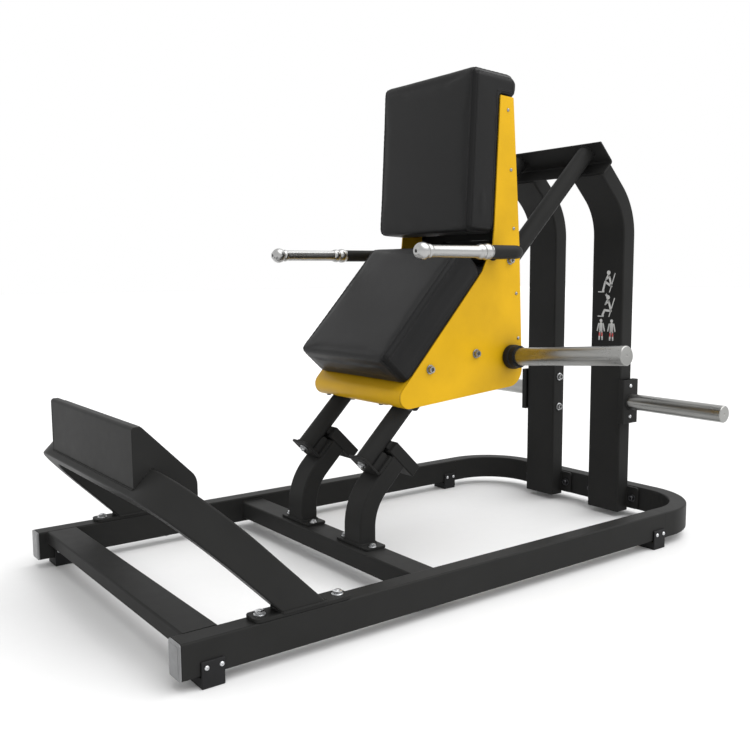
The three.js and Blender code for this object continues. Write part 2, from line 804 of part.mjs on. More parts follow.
// The upper block's back face is upright, so that it stays inside the side plates.
function upperBlock() {
  const back = (UPPER_BLOCK.back - GUIDE.y) * ROOT_2;
  return bearingBlock([
    [UPPER_BLOCK.start, BLOCK.bottom, 4],
    [back + BLOCK.bottom, BLOCK.bottom, 4],
    [back + BLOCK.top, BLOCK.top, 4],
    [UPPER_BLOCK.start, BLOCK.top, 4],
  ]);
}

// One bent tube: it crosses the carriage between the two pads and runs forward on
// both sides of it.
function handleBar() {
  const splay = Math.tan(HANDLE.splay * DEG);
  const endX = HANDLE.x + (HANDLE.y - HANDLE.front) * splay;
  const corners = [
    [endX, HANDLE.front],
    [HANDLE.x, HANDLE.y, HANDLE.bend],
    [-HANDLE.x, HANDLE.y, HANDLE.bend],
    [-endX, HANDLE.front],
  ];
  const path = new BentPath(corners, (x, y) => new THREE.Vector3(x, y, HANDLE.z), UP);
  const section = new THREE.Shape();
  section.absarc(0, 0, HANDLE.radius, 0, 2 * Math.PI, false);
  return sweep(section, path, 9);
}

// Points along a ball on a turned profile, open at both ends where the ball meets its neck.
function ballProfile(middle, radius, steps = 6) {
  return Array.from({ length: steps + 1 }, (_, i) => {
    const angle = ((i / steps) * 150 + 15) * DEG;
    return [radius * Math.sin(angle), middle - radius * Math.cos(angle)];
  });
}

// The chrome grip on the front end of the handle bar, with a ball at each end.
function handleGrip() {
  const { length, radius, knob, collar, collarAt, neck } = GRIP;
  const tip = length - 1;
  const profile = [
    [0, GAP],
    [HANDLE.radius - 1, GAP],
    ...ballProfile(collarAt, collar),
    [radius, collarAt + neck],
    [radius, length - knob - neck],
    ...ballProfile(length - knob, knob),
    [KNOB_HOLE.radius, tip],
    [KNOB_HOLE.radius, tip - KNOB_HOLE.depth],
    [0, tip - KNOB_HOLE.depth],
  ];
  const startX = HANDLE.x + (HANDLE.y - HANDLE.front) * Math.tan(HANDLE.splay * DEG);
  return turned(profile)
    .rotateX(Math.PI / 2)
    .rotateZ(HANDLE.splay * DEG)
    .translate(startX, HANDLE.front, HANDLE.z);
}

// Tilts a solid of revolution about z to lie along the weight horn's axis, outside the
// side plate, and trims it square to the plate.
function onHornAxis(solid) {
  const laid = solid
    .rotateY(Math.PI / 2 - HORN.tilt * DEG)
    .translate(PLATE_X, HORN.y, HORN.z);
  const trim = boxAt(100, 200, 200, PLATE_X + GAP - 50, HORN.y, HORN.z);
  return cut(laid, trim);
}

const hornCollar = () =>
  onHornAxis(ring(HORN_R + GAP, HORN.collarR, -HORN.root, HORN.collar));

const weightHorn = () => onHornAxis(hornBar(-HORN.root, HORN.length));

// ---------------------------------------------------------------- the machine

placePair(machine, "side_rail", sideRail(), black);
place(machine, "rear_hoop", rearHoop(), black());
place(machine, "front_crossbar", crossMember(FRONT_BAR, RAIL_TOP - FRONT_BAR.height), black());
place(machine, "mid_crossbar", crossMember(MID_BAR, MID_BAR_TOP - MID_BAR.height), black());
placePair(machine, "end_cap", endCap(), plastic);
placePair(machine, "foot_front", foot(FOOT.frontY), rubber);
placePair(machine, "foot_rear", foot(FOOT.rearY), rubber);

placePair(incline, "guide_rail", guideRail(), black);
placePair(incline, "guide_shoe", guideShoe(), black);
placePair(incline, "leg_head", legHead(), black);
placePair(incline, "stop_collar", stopCollar(), black);
placePair(incline, "stop_buffer", stopBuffer(), rubber);
placePair(machine, "leg", leg(), black);
placePair(machine, "leg_base_plate", legBasePlate(), black);

placePair(machine, "upright", upright(), black);
place(incline, "top_crossbar", topCrossbar(), black());
placePair(machine, "storage_bracket", storageBracket(), black);
placePair(machine, "storage_horn", storageHorn(), chrome);

place(machine, "foot_arch", footArch(), black());
placePair(machine, "arch_flange", archFlange(), black);
place(machine, "foot_box", footBox(), black());
place(machine, "tread_mat", treadMat(), rubber());

placePair(machine, "side_plate", sidePlate(), yellow);
place(machine, "front_nose", frontNose(), yellow());
place(machine, "rear_cover_upper", rearCover(UPPER_COVER), black());
place(machine, "rear_cover_middle", rearCover(MIDDLE_COVER), black());
place(machine, "rear_cover_lower", rearCover(LOWER_COVER), black());
place(incline, "cross_tube", crossTube(), black());
place(machine, "horn_axle", hornAxle(), black());
placePair(incline, "bearing_block_lower", lowerBlock(), aluminium);
placePair(incline, "bearing_block_upper", upperBlock(), aluminium);
place(machine, "upper_pad", upperPad(), vinyl());
place(machine, "lower_pad", lowerPad(), vinyl());
place(machine, "upper_pad_board", padBoard(UPPER_PAD, UPPER_BOARD), plywood());
place(machine, "lower_pad_board", padBoard(LOWER_PAD, LOWER_BOARD), plywood());
place(machine, "handle_bar", handleBar(), black());
placePair(machine, "handle_grip", handleGrip(), chrome);
placePair(machine, "horn_collar", hornCollar(), nylon);
placePair(machine, "weight_horn", weightHorn(), chrome);

// The foremost point is the rounded lower corner of the arch's crown.
const [crownY] = archPoint(ARCH.crown + ARCH.depth / 2, -ARCH.width / 2);
const foremost = crownY + CORNER * (ROOT_2 - 1);
machine.position.y = -(foremost + BASE_LENGTH) / 2;

export default machine;
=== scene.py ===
import bpy, bmesh
from math import atan2, copysign, cos, hypot, pi, radians, sin, sqrt, tan
from mathutils import Matrix, Vector
from mathutils.bvhtree import BVHTree


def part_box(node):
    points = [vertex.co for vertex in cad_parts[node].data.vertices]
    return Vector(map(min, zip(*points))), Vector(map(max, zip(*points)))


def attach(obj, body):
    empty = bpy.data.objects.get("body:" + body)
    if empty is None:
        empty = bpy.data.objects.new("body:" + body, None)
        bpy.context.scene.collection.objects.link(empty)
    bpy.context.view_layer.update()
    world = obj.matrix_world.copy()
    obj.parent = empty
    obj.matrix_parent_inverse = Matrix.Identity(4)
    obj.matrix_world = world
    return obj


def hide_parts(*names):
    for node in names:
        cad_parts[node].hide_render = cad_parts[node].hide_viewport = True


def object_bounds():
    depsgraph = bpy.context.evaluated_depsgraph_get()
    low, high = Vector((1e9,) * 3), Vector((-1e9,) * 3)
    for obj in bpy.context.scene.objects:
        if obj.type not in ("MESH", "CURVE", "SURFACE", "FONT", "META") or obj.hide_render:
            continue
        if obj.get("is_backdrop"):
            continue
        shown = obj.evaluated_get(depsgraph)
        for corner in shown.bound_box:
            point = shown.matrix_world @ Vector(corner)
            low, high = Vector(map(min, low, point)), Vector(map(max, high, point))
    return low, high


# Hack squat machine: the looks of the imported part. Lengths in this file are millimetres in the
# machine's own frame (y from the front ends of the side rails, z from the floor) unless said.

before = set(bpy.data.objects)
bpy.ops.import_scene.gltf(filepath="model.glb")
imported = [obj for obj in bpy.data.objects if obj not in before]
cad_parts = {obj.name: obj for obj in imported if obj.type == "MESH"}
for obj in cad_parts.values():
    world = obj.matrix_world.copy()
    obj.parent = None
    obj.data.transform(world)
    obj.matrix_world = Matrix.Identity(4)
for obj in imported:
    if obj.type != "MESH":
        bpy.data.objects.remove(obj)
cad_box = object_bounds()
Y0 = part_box("end_cap_right")[0].y
ROOT_2 = sqrt(2)
X, Y, Z = Vector((1, 0, 0)), Vector((0, 1, 0)), Vector((0, 0, 1))
SIDES = (("right", 1), ("left", -1))

RAIL_X, RAIL_W, RAIL_H = 452, 50, 75
CLEAR = 24  # from the floor to the underside of the rails
RAIL_TOP = CLEAR + RAIL_H
HOOP_START, HOOP_Y, HOOP_R = 1501, 1716, 175
FRONT_BAR_Y, MID_BAR_Y, MID_TOP = 67, 655, 86.5
LEG_Y = 660.5
GUIDE_X, GUIDE_Y, GUIDE_Z, GUIDE_R, GUIDE_LENGTH = 140.5, 673, 300.7, 25.4, 1199.7
UPRIGHT_X, UPRIGHT_Y, UPRIGHT_W, UPRIGHT_D = 139.4, 1663.7, 122, 54
WEB = 1206  # back face of the top crossbar's web, measured up the guides
STORAGE_Y, STORAGE_Z = 1665.7, 378
ARCH_OUT, ARCH_CROWN, ARCH_LOW = 388.5 / ROOT_2, 221.5, -260  # on axes turned by 45 degrees
FLANGE_TOP = RAIL_TOP + 8.1
PLATE_X, PLATE_IN, BETWEEN = 203, 198, 197.6  # side plates, and half the width of what is between them
NOSE, TAIL = (704.5, 432), (1192, 471)  # y, z of the side plates' two lower corners
HANDLE_X, HANDLE_Y, HANDLE_Z, HANDLE_R = 316.8, 1071, 842, 17.5
GRIP_Y, SPLAY = 945, radians(2.8)
HORN_Y, HORN_Z, HORN_R, HORN_TILT = 1144, 552, 25, radians(4.6)


def at(x, y, z):
    """A point of the machine in the part's frame, in metres."""
    return Vector((x / 1000, y / 1000 + Y0, z / 1000))


def side_view(p):
    """The y and z of a point made by at, back in the machine's millimetres."""
    return (p.y - Y0) * 1000, p.z * 1000


def on_guide(x, along, square):
    """A point measured up the guide rails and square to them."""
    return at(x, GUIDE_Y + (along - square) / ROOT_2, GUIDE_Z + (along + square) / ROOT_2)


ALONG = (Y + Z).normalized()
SQUARE = (Z - Y).normalized()

# ---- flat shapes


def rounded(w, h, r, steps=5):
    return outline([(-w / 2, -h / 2, r), (w / 2, -h / 2, r), (w / 2, h / 2, r), (-w / 2, h / 2, r)], steps)


def fillet(a, b, c, r, steps):
    a, b, c = Vector(a[:2]), Vector(b[:2]), Vector(c[:2])
    into, out = (b - a).normalized(), (c - b).normalized()
    turn = atan2(into.x * out.y - into.y * out.x, into.dot(out))
    start = b - into * r * tan(abs(turn) / 2)
    centre = start + Vector((-into.y, into.x)) * copysign(r, turn)
    points = []
    for i in range(steps + 1):
        arm = start - centre
        arm.rotate(Matrix.Rotation(turn * i / steps, 2))
        points.append(tuple(centre + arm))
    return points


def outline(corners, steps=6):
    """A closed line through corners (x, y, radius), or an open one where both end radii are 0."""
    points = []
    for i, (x, y, r) in enumerate(corners):
        if r:
            points += fillet(corners[i - 1], corners[i], corners[(i + 1) % len(corners)], r, steps)
        else:
            points.append((x, y))
    return points


def area(shape):
    return sum(a[0] * b[1] - b[0] * a[1] for a, b in zip(shape, shape[1:] + shape[:1])) / 2


def directions(line):
    """The direction of each stretch of a line."""
    return [(b - a).normalized() for a, b in zip(line, line[1:])]


def beside(p, into, out, d):
    """A corner moved to the left by d, square to the directions into it and out of it."""
    n = Vector((-into.y - out.y, into.x + out.x)).normalized()
    return tuple(p + n * d / max(0.4, n.dot(Vector((-into.y, into.x)))))


def inset(shape, d):
    """The outline moved inwards by d (outwards if d is negative)."""
    if d == 0:
        return list(shape)
    points = [Vector(p) for p in shape]
    out = directions(points + points[:1])
    d = d if area(shape) > 0 else -d
    return [beside(*corner, d) for corner in zip(points, out[-1:] + out, out)]


def ribbon(line, thickness):
    """A strip of sheet along an open line; the sheet lies to the left of it."""
    points = [Vector(p) for p in line]
    run = directions(points)
    other = [beside(*corner, thickness) for corner in zip(points, run[:1] + run, run + run[-1:])]
    return list(line) + other[::-1]


# ---- solids


def loft(rings):
    count = len(rings[0])
    verts = [v for ring in rings for v in ring]
    faces = []
    for i in range(len(rings) - 1):
        for j in range(count):
            k = (j + 1) % count
            faces.append((i * count + j, i * count + k, (i + 1) * count + k, (i + 1) * count + j))
    faces.append(tuple(reversed(range(count))))
    faces.append(tuple(range(len(verts) - count, len(verts))))
    return verts, faces


def prism(shape, low, high, place, bevel=1.2, steps=3):
    """Extrudes an outline; place turns (u, v, w) into a point. Its edges are rounded."""
    turns = [pi / 2 * i / steps for i in range(steps + 1)]
    rings = []
    for end, sign, angles in ((low, 1, turns), (high, -1, turns[::-1])):
        for a in angles:
            ring = inset(shape, bevel * (1 - sin(a)))
            rings.append([place(u, v, end + sign * bevel * (1 - cos(a))) for u, v in ring])
    return loft(rings)


def sweep(shape, path, normal, bevel=1.0):
    """Carries a section along points in space; the section's u stays along normal."""
    path = [p.copy() for p in path]
    step = bevel / 1000
    path.insert(1, path[0] + (path[1] - path[0]).normalized() * step)
    path.insert(-1, path[-1] + (path[-2] - path[-1]).normalized() * step)
    rings, run = [], directions(path)
    for i, (p, into, out) in enumerate(zip(path, run[:1] + run, run + run[-1:])):
        across = (into + out).normalized().cross(normal).normalized()
        ring = inset(shape, bevel if i in (0, len(run)) else 0)
        rings.append([p + (normal * u + across * v) / 1000 for u, v in ring])
    return loft(rings)


def lathe(profile, origin, axis, segments=48, hexes=()):
    """Turns (radius, distance) points about an axis; the rings listed in hexes are hexagons."""
    axis = axis.normalized()
    side = axis.orthogonal().normalized()
    up = axis.cross(side)
    rings = []
    for i, (r, t) in enumerate(profile):
        ring = []
        for j in range(segments):
            a = 2 * pi * j / segments
            k = 1 / cos((a % (pi / 3)) - pi / 6) if i in hexes else 1
            ring.append(origin + (axis * t + (side * cos(a) + up * sin(a)) * r * k) / 1000)
        rings.append(ring)
    return loft(rings)


def rod(r, length, origin, axis, bevel=1.0, segments=48):
    return lathe([(r - bevel, 0), (r - bevel * 0.3, bevel * 0.3), (r, bevel), (r, length - bevel),
                  (r - bevel * 0.3, length - bevel * 0.3), (r - bevel, length)], origin, axis, segments)


def circle(radius, origin, axis, count=36):
    side = axis.orthogonal().normalized()
    up = axis.cross(side)
    angles = [2 * pi * i / count for i in range(count)]
    return [origin + (side * cos(a) + up * sin(a)) * radius / 1000 for a in angles]


def bead(path, radius=2.6, pitch=4.0, closed=False):
    """A weld bead: a thin rippled rope along points in space."""
    dense = []
    ends = path + path[:1] if closed else path
    for a, b in zip(ends, ends[1:]):
        n = max(1, round((b - a).length * 1000 / (pitch / 4)))
        dense += [a.lerp(b, i / n) for i in range(n)]
    dense.append(ends[-1])
    rings, last = [], len(dense) - 1
    for i, p in enumerate(dense):
        along = (dense[min(i + 1, last)] - dense[max(i - 1, 0)]).normalized()
        r = radius * (1 + 0.13 * sin(2 * pi * i / 4))
        if not closed and i in (0, last):
            r *= 0.4
        rings.append(circle(r, p, along, 8))
    return loft(rings)


def edited(mesh, change, smooth=40):
    """Runs a change on the mesh's bmesh, turns the faces outwards and shades them."""
    bm = bmesh.new()
    bm.from_mesh(mesh)
    change(bm)
    bmesh.ops.recalc_face_normals(bm, faces=bm.faces)
    bm.to_mesh(mesh)
    bm.free()
    shaded(mesh, smooth)


def shaded(mesh, smooth=40):
    mesh.shade_smooth()
    mesh.set_sharp_from_angle(angle=radians(smooth))


def linked(name, data):
    ob = bpy.data.objects.new(name, data)
    bpy.context.collection.objects.link(ob)
    return ob


def mesh_object(name, parts, material, smooth=40):
    verts, faces = [], []
    for part_verts, part_faces in parts:
        base = len(verts)
        verts += part_verts
        faces += [tuple(i + base for i in face) for face in part_faces]
    mesh = bpy.data.meshes.new(name)
    mesh.from_pydata([tuple(v) for v in verts], [], faces)
    edited(mesh, lambda bm: bmesh.ops.remove_doubles(bm, verts=bm.verts, dist=1e-7), smooth)
    mesh.materials.append(material)
    return linked(name, mesh)


def belongs(ob, body, node=None):
    """Says which body a piece rides on and which CAD node it stands for."""
    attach(ob, body)
    if node:
        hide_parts(node)


def stand_in(node, suffix, parts, body="frame", finish=None, smooth=40, weighted=True):
    """A piece that is shown instead of a CAD node, under the node's name and a suffix. It is black
    steel of the frame unless said."""
    piece(f"{node}_{suffix}", parts, body, finish or BLACK, node, smooth, weighted)


def piece(name, parts, body, finish, node=None, smooth=40, weighted=True):
    """A piece made of one closed form, or of a list of them."""
    if isinstance(parts, tuple):
        parts = [parts]
    ob = mesh_object(name, parts, finish["material"], smooth)
    if weighted:
        ob.modifiers.new("normals", "WEIGHTED_NORMAL").keep_sharp = True
    belongs(ob, body, node)


def apply_modifiers(ob):
    bpy.context.view_layer.update()
    made = ob.evaluated_get(bpy.context.evaluated_depsgraph_get())
    mesh = bpy.data.meshes.new_from_object(made)
    ob.modifiers.clear()
    ob.data = mesh


# ---- finishes


def preset(node, **values):
    """Sets inputs of a node; an underscore stands for a space in their names."""
    for key, value in values.items():
        node.inputs[key.replace("_", " ")].default_value = value


class Nodes:
    """A short way to write a material's node tree."""

    def __init__(self, name):
        self.material = bpy.data.materials.new(name)
        self.material.use_nodes = True
        self.tree = self.material.node_tree
        self.tree.nodes.clear()
        self.shader = self.add("BsdfPrincipled")
        out = self.add("OutputMaterial")
        self.link(self.shader.outputs[0], out.inputs[0])
        self.coords = self.add("TexCoord").outputs["Object"]

    def add(self, kind, **values):
        node = self.tree.nodes.new("ShaderNode" + kind)
        for key, value in values.items():
            setattr(node, key, value)
        return node

    def link(self, a, b):
        self.tree.links.new(a, b)

    def noise(self, scale, detail=3.0, rough=0.55, stretch=None, distortion=0.0):
        node = self.add("TexNoise")
        preset(node, Scale=scale, Detail=detail, Roughness=rough, Distortion=distortion)
        self.link(self.stretched(stretch), node.inputs["Vector"])
        return node.outputs[0]

    def voronoi(self, scale, feature="F1"):
        node = self.add("TexVoronoi", feature=feature)
        preset(node, Scale=scale)
        self.link(self.coords, node.inputs["Vector"])
        return node.outputs[0]

    def stretched(self, stretch):
        if stretch is None:
            return self.coords
        mapping = self.add("Mapping")
        preset(mapping, Scale=stretch)
        self.link(self.coords, mapping.inputs["Vector"])
        return mapping.outputs[0]

    def spread(self, value, low, high, start=0.3, end=0.7):
        node = self.add("MapRange")
        preset(node, From_Min=start, From_Max=end, To_Min=low, To_Max=high)
        self.link(value, node.inputs["Value"])
        return node.outputs[0]

    def mix(self, factor, a, b):
        node = self.add("Mix", data_type="RGBA")
        self.link(factor, node.inputs[0])
        for socket, value in ((node.inputs[6], a), (node.inputs[7], b)):
            if isinstance(value, tuple):
                socket.default_value = (*value, 1)
            else:
                self.link(value, socket)
        return node.outputs[2]

    def sum(self, a, b, weight=1.0):
        node = self.add("Math", operation="MULTIPLY_ADD")
        self.link(b, node.inputs[0])
        node.inputs[1].default_value = weight
        self.link(a, node.inputs[2])
        return node.outputs[0]

    def bump(self, height, strength, distance_mm):
        node = self.add("Bump")
        preset(node, Strength=strength, Distance=distance_mm / 1000)
        self.link(height, node.inputs["Height"])
        self.link(node.outputs[0], self.shader.inputs["Normal"])

    def painted_crevice_shade(self, reach_mm):
        """High in corners and under neighbouring pieces, where painted shade darkens the coat."""
        node = self.add("AmbientOcclusion", samples=6)
        preset(node, Distance=reach_mm / 1000)
        return self.spread(node.outputs["AO"], 1.0, 0.0, 0.25, 0.95)

    def edges(self, radius_mm):
        """High where the surface turns within that radius, for wear on edges and a painted highlight along
        them.
        """
        soft = self.add("Bevel", samples=4)
        preset(soft, Radius=radius_mm / 1000)
        plain = self.add("NewGeometry")
        dot = self.add("VectorMath", operation="DOT_PRODUCT")
        self.link(soft.outputs[0], dot.inputs[0])
        self.link(plain.outputs["Normal"], dot.inputs[1])
        return self.spread(dot.outputs["Value"], 1.0, 0.0, 0.9, 0.995)

    def colour(self, value):
        self.link(value, self.shader.inputs["Base Color"])

    def rough(self, value):
        self.link(value, self.shader.inputs["Roughness"])

    def patches(self, value, colour, dark, light):
        """The colour made darker where the value is low and lighter where it is high."""
        return self.mix(self.spread(value, 0, 1), scaled(colour, dark), scaled(colour, light))

    def finish(self, slot):
        return {"material": self.material, "slot": slot}


def scaled(colour, k):
    return tuple(min(1.0, c * k) for c in colour)


def powder(name, colour, rough, slot, shine, edge=1.25, grain=0.16, shade_reach=0):
    """Powder coat: patchy, flecked, lighter at its edges from a little wear and a painted highlight, and,
    within the given number of mm of a corner or a neighbouring piece, darker with painted shade.
    """
    n = Nodes(name)
    patch = n.noise(5.5, 4)
    base = n.patches(patch, colour, 0.9, 1.1)
    fleck = n.spread(n.noise(950, 1), 0, 0.35, 0.55, 0.8)
    base = n.mix(fleck, base, scaled(colour, 1.3))
    # Edges made lighter: partly wear, partly a painted highlight.
    edge_wear_and_highlight = n.spread(n.sum(n.edges(1.6), n.noise(60, 3), 0.6), 0, 1, 1.1, 1.5)
    base = n.mix(edge_wear_and_highlight, base, scaled(colour, edge))
    # Painted shade: the colour is darkened where ambient occlusion finds corners and neighbouring pieces.
    if shade_reach:
        base = n.mix(n.painted_crevice_shade(shade_reach), base, scaled(colour, 0.4))
    n.colour(base)
    n.rough(n.spread(n.sum(patch, n.noise(38, 3), 0.5), rough - 0.05, rough + 0.06, 0.4, 1.1))
    n.bump(n.sum(n.noise(420, 2), n.noise(1500, 1), 0.35), grain, 0.22)
    preset(n.shader, Specular_IOR_Level=shine)
    return n.finish(slot)


def chrome(name, slot, tint):
    """Polished chrome with a light haze and fine lines from turning."""
    n, rough = Nodes(name), 0.28
    haze = n.noise(9, 4)
    n.colour(n.patches(haze, tint, 0.95, 1))
    lines = n.noise(40, 5, 0.7, stretch=(1.0, 22.0, 22.0))
    n.rough(n.spread(n.sum(haze, lines, 0.8), rough - 0.035, rough + 0.07, 0.6, 1.2))
    n.bump(lines, 0.015, 0.05)
    preset(n.shader, Metallic=1.0)
    return n.finish(slot)


def metal(name, colour, rough, slot):
    """Plain cast or plated metal."""
    n = Nodes(name)
    cloud = n.noise(14, 4)
    n.colour(n.patches(cloud, colour, 0.82, 1.08))
    n.rough(n.spread(n.noise(90, 5, 0.65), rough - 0.08, rough + 0.1))
    n.bump(n.noise(700, 2), 0.12, 0.08)
    preset(n.shader, Metallic=1.0)
    return n.finish(slot)


def vinyl(name, colour, slot):
    """Upholstery vinyl with a fine pebbled grain."""
    n = Nodes(name)
    cloud = n.noise(7, 4)
    base = n.patches(cloud, colour, 0.93, 1.1)
    cells = n.voronoi(620, "DISTANCE_TO_EDGE")
    base = n.mix(n.spread(cells, 0.35, 0, 0.0, 0.12), base, scaled(colour, 0.6))
    n.colour(base)
    n.rough(n.spread(n.sum(cloud, n.noise(300, 2), 0.5), 0.36, 0.5, 0.4, 1.1))
    height = n.sum(n.spread(cells, 0, 1, 0, 0.16), n.noise(240, 3), 0.8)
    height = n.sum(height, n.noise(16, 3), 2.2)
    n.bump(height, 0.22, 0.32)
    preset(n.shader, Specular_IOR_Level=0.17, Sheen_Weight=0.02, Sheen_Roughness=0.45)
    return n.finish(slot)


def moulded(name, colour, rough, slot, grain=300, depth=0.2, shine=0.4):
    """Rubber, plastic, thread or print."""
    n = Nodes(name)
    cloud = n.noise(22, 4)
    n.colour(n.patches(cloud, colour, 0.88, 1.12))
    n.rough(n.spread(n.noise(70, 3), rough - 0.06, rough + 0.08))
    n.bump(n.sum(n.noise(grain, 3), n.voronoi(grain * 2.2), 0.5), depth, 0.3)
    preset(n.shader, Specular_IOR_Level=shine)
    return n.finish(slot)


def wood(name, slot):
    """Plywood stained black."""
    n = Nodes(name)
    grain = n.noise(26, 6, 0.6, stretch=(1.0, 9.0, 0.6), distortion=1.2)
    base = n.mix(n.spread(grain, 0, 1), (0.018, 0.014, 0.011), (0.04, 0.032, 0.026))
    ply = n.noise(120, 1, 0.4, stretch=(0.2, 4.0, 0.2))
    base = n.mix(n.spread(ply, 0, 0.5, 0.45, 0.55), base, (0.012, 0.009, 0.007))
    n.colour(base)
    n.rough(n.spread(grain, 0.6, 0.8))
    n.bump(grain, 0.25, 0.3)
    return n.finish(slot)


# The black coat's edges are a quarter lighter: partly wear, partly a painted highlight.
BLACK = powder("powder_black", (0.0195, 0.0195, 0.019), 0.43, "black_powder_coat", shine=0.045)
# The yellow coat has painted shade within 70 mm of corners and neighbouring pieces.
YELLOW = powder("powder_yellow", (0.58, 0.332, 0.004), 0.4, "yellow_powder_coat", shine=0.15, edge=1.08,
                grain=0.08, shade_reach=70)
CHROME = chrome("chrome", "polished_chrome", (0.31, 0.31, 0.3))
GRIP_CHROME = chrome("chrome_grip", "polished_chrome", (0.4, 0.4, 0.395))
VINYL = vinyl("vinyl_black", (0.0062, 0.0062, 0.0064), "black_vinyl")
RUBBER = moulded("rubber_black", (0.013, 0.013, 0.0135), 0.62, "black_rubber", shine=0.15)
PLASTIC = moulded("plastic_grey", (0.17, 0.172, 0.175), 0.36, "grey_plastic", depth=0.1)
NYLON = moulded("nylon_black", (0.009, 0.009, 0.0095), 0.34, "black_nylon", depth=0.06, shine=0.14)
PLY = wood("plywood", "plywood")
ALUMINIUM = metal("aluminium", (0.5, 0.51, 0.52), 0.38, "cast_aluminium")
ZINC = metal("zinc_plate", (0.62, 0.63, 0.64), 0.3, None)
STEEL = metal("bolt_steel", (0.3, 0.3, 0.3), 0.3, None)
DARK_STEEL = metal("dark_steel", (0.09, 0.09, 0.095), 0.35, None)
THREAD = moulded("thread", (0.018, 0.018, 0.019), 0.6, None, grain=900)
PRINT = moulded("print_white", (0.55, 0.55, 0.54), 0.5, None)
PRINT_RED = moulded("print_red", (0.5, 0.03, 0.025), 0.5, None)


def keep_node(name, finish, bevel):
    """A CAD node that is shown as it is, with a finish and edges rounded by bevel."""
    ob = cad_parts[name]
    ob.data.materials.clear()
    ob.data.materials.append(finish["material"])
    if bevel:
        edges = ob.modifiers.new("edges", "BEVEL")
        edges.width, edges.segments, edges.harden_normals = bevel / 1000, 2, True
        edges.limit_method, edges.angle_limit = "ANGLE", radians(35)


# ---- fasteners

HEADS = {  # for a size of 1: its outline (radius, height), its sides, and which of its rings are hexagons
    "hex": ([(0.9, 0), (1, 0.08), (1, 0.62), (0.86, 0.72)], 36, (0, 1, 2)),
    "cap": ([(1, 0), (1, 0.8), (0.93, 0.95), (0.6, 0.95), (0.5, 0.85), (0.5, 0.3)], 36, (4, 5)),
    "screw": ([(1, 0), (0.97, 0.14), (0.8, 0.42), (0.5, 0.6), (0.26, 0.64), (0.16, 0.34)], 24, ()),
}
fastener_count = {}


def fastener(kind, body, origin, axis, finish, size):
    """Adds a bolt, screw or washer of a radius (size) with its seat at origin, pointing along axis."""
    if kind == "washer":
        parts = [lathe([(size, 0), (size, 1.6), (size - 0.6, 2.2), (size * 0.5, 2.2)], origin, axis, 40)]
    else:
        profile, sides, hexes = HEADS[kind]
        parts = [lathe([(size * r, size * t) for r, t in profile], origin, axis, sides, hexes)]
    if kind == "hex":
        parts.append(rod(size * 0.5, size * 0.95, origin, axis, 0.6, 24))
    fastener_count[kind] = fastener_count.get(kind, 0) + 1
    name = f"{kind}_{body}_{fastener_count[kind]:02d}"
    piece(name, parts, body, finish, weighted=False, smooth=35)


def bolt(body, origin, axis, finish, size, kind="hex"):
    """A bolt head on its washer."""
    fastener("washer", body, origin, axis, finish, size * 1.35)
    fastener(kind, body, origin + axis * 0.0022, axis, finish, size)


# ---- base frame


def hoop(start, end):
    """The middle line of a tube that runs out over one side rail and back over the other."""
    x, r = RAIL_X, HOOP_R
    return outline([(x, start, 0), (x, end, r), (-x, end, r), (-x, start, 0)], 30)


def base_frame():
    section, level = rounded(RAIL_W, RAIL_H, 5), CLEAR + RAIL_H / 2
    for side, s in SIDES:
        path = [at(s * RAIL_X, y, level) for y in (5.3, HOOP_START - 0.1)]
        stand_in(f"side_rail_{side}", "skin", sweep(section, path, X, 0.3))
        place = lambda u, v, w: at(s * RAIL_X + u, w, level + v)
        cap = prism(section, 0, 5.1, place, 2.2, 4)
        lip = prism(rounded(RAIL_W - 12, RAIL_H - 12, 3), -0.7, 1, place, 0.6)
        stand_in(f"end_cap_{side}", "moulding", [cap, lip], "frame", PLASTIC)
    path = [at(x, y, level) for x, y in hoop(HOOP_START, HOOP_Y)]
    stand_in("rear_hoop", "skin", sweep(rounded(RAIL_H, RAIL_W, 5), path, Z, 0.3))
    crossbar("front_crossbar", FRONT_BAR_Y, 80, 35, RAIL_TOP)
    crossbar("mid_crossbar", MID_BAR_Y, 75, 50, MID_TOP)


def crossbar(name, y, depth, height, top):
    """A tube between the side rails, with the weld beads at its ends."""
    half, level = RAIL_X - RAIL_W / 2 - 0.1, top - height / 2
    bar = sweep(rounded(height, depth, 5), [at(half, y, level), at(-half, y, level)], Z, 0.3)
    flat_welds = [top - height - 0.5]
    if top < RAIL_TOP:
        flat_welds.append(top + 0.5)
    welds = []
    for s in (1, -1):
        for face in (y - depth / 2 - 0.6, y + depth / 2 + 0.6):
            welds.append(bead([at(s * half, face, z) for z in (top - 4, top - height + 4)], 2.4))
        for z in flat_welds:
            welds.append(bead([at(s * half, y + e * (depth / 2 - 4), z) for e in (-1, 1)], 2.4))
    stand_in(name, "skin", [bar, *welds])


def feet():
    """Rubber saddles under the side rails, each with two screws on both faces."""
    half, outer, top = 25.3, 30.3, CLEAR + 31
    saddle = outline([(-outer, 0, 2), (outer, 0, 2), (outer, top, 1.8), (half, top, 1.2),
                      (half, CLEAR - 0.3, 0.5), (-half, CLEAR - 0.3, 0.5), (-half, top, 1.2),
                      (-outer, top, 1.8)], 3)
    for end, y, screws in (("front", 68, (-14, 18)), ("rear", 1470, (-12, 17))):
        for side, s in SIDES:
            body = prism(saddle, -25, 25, lambda u, v, w: at(s * RAIL_X + u, y + w, v), 2.0)
            stand_in(f"foot_{end}_{side}", "rubber", body, "frame", RUBBER)
            for dy in screws:
                for face in (1, -1):
                    origin = at(s * RAIL_X + face * (outer - 0.2), y + dy, 42)
                    fastener("screw", "frame", origin, X * face, ZINC, 5.4)


# ---- guide rails and legs


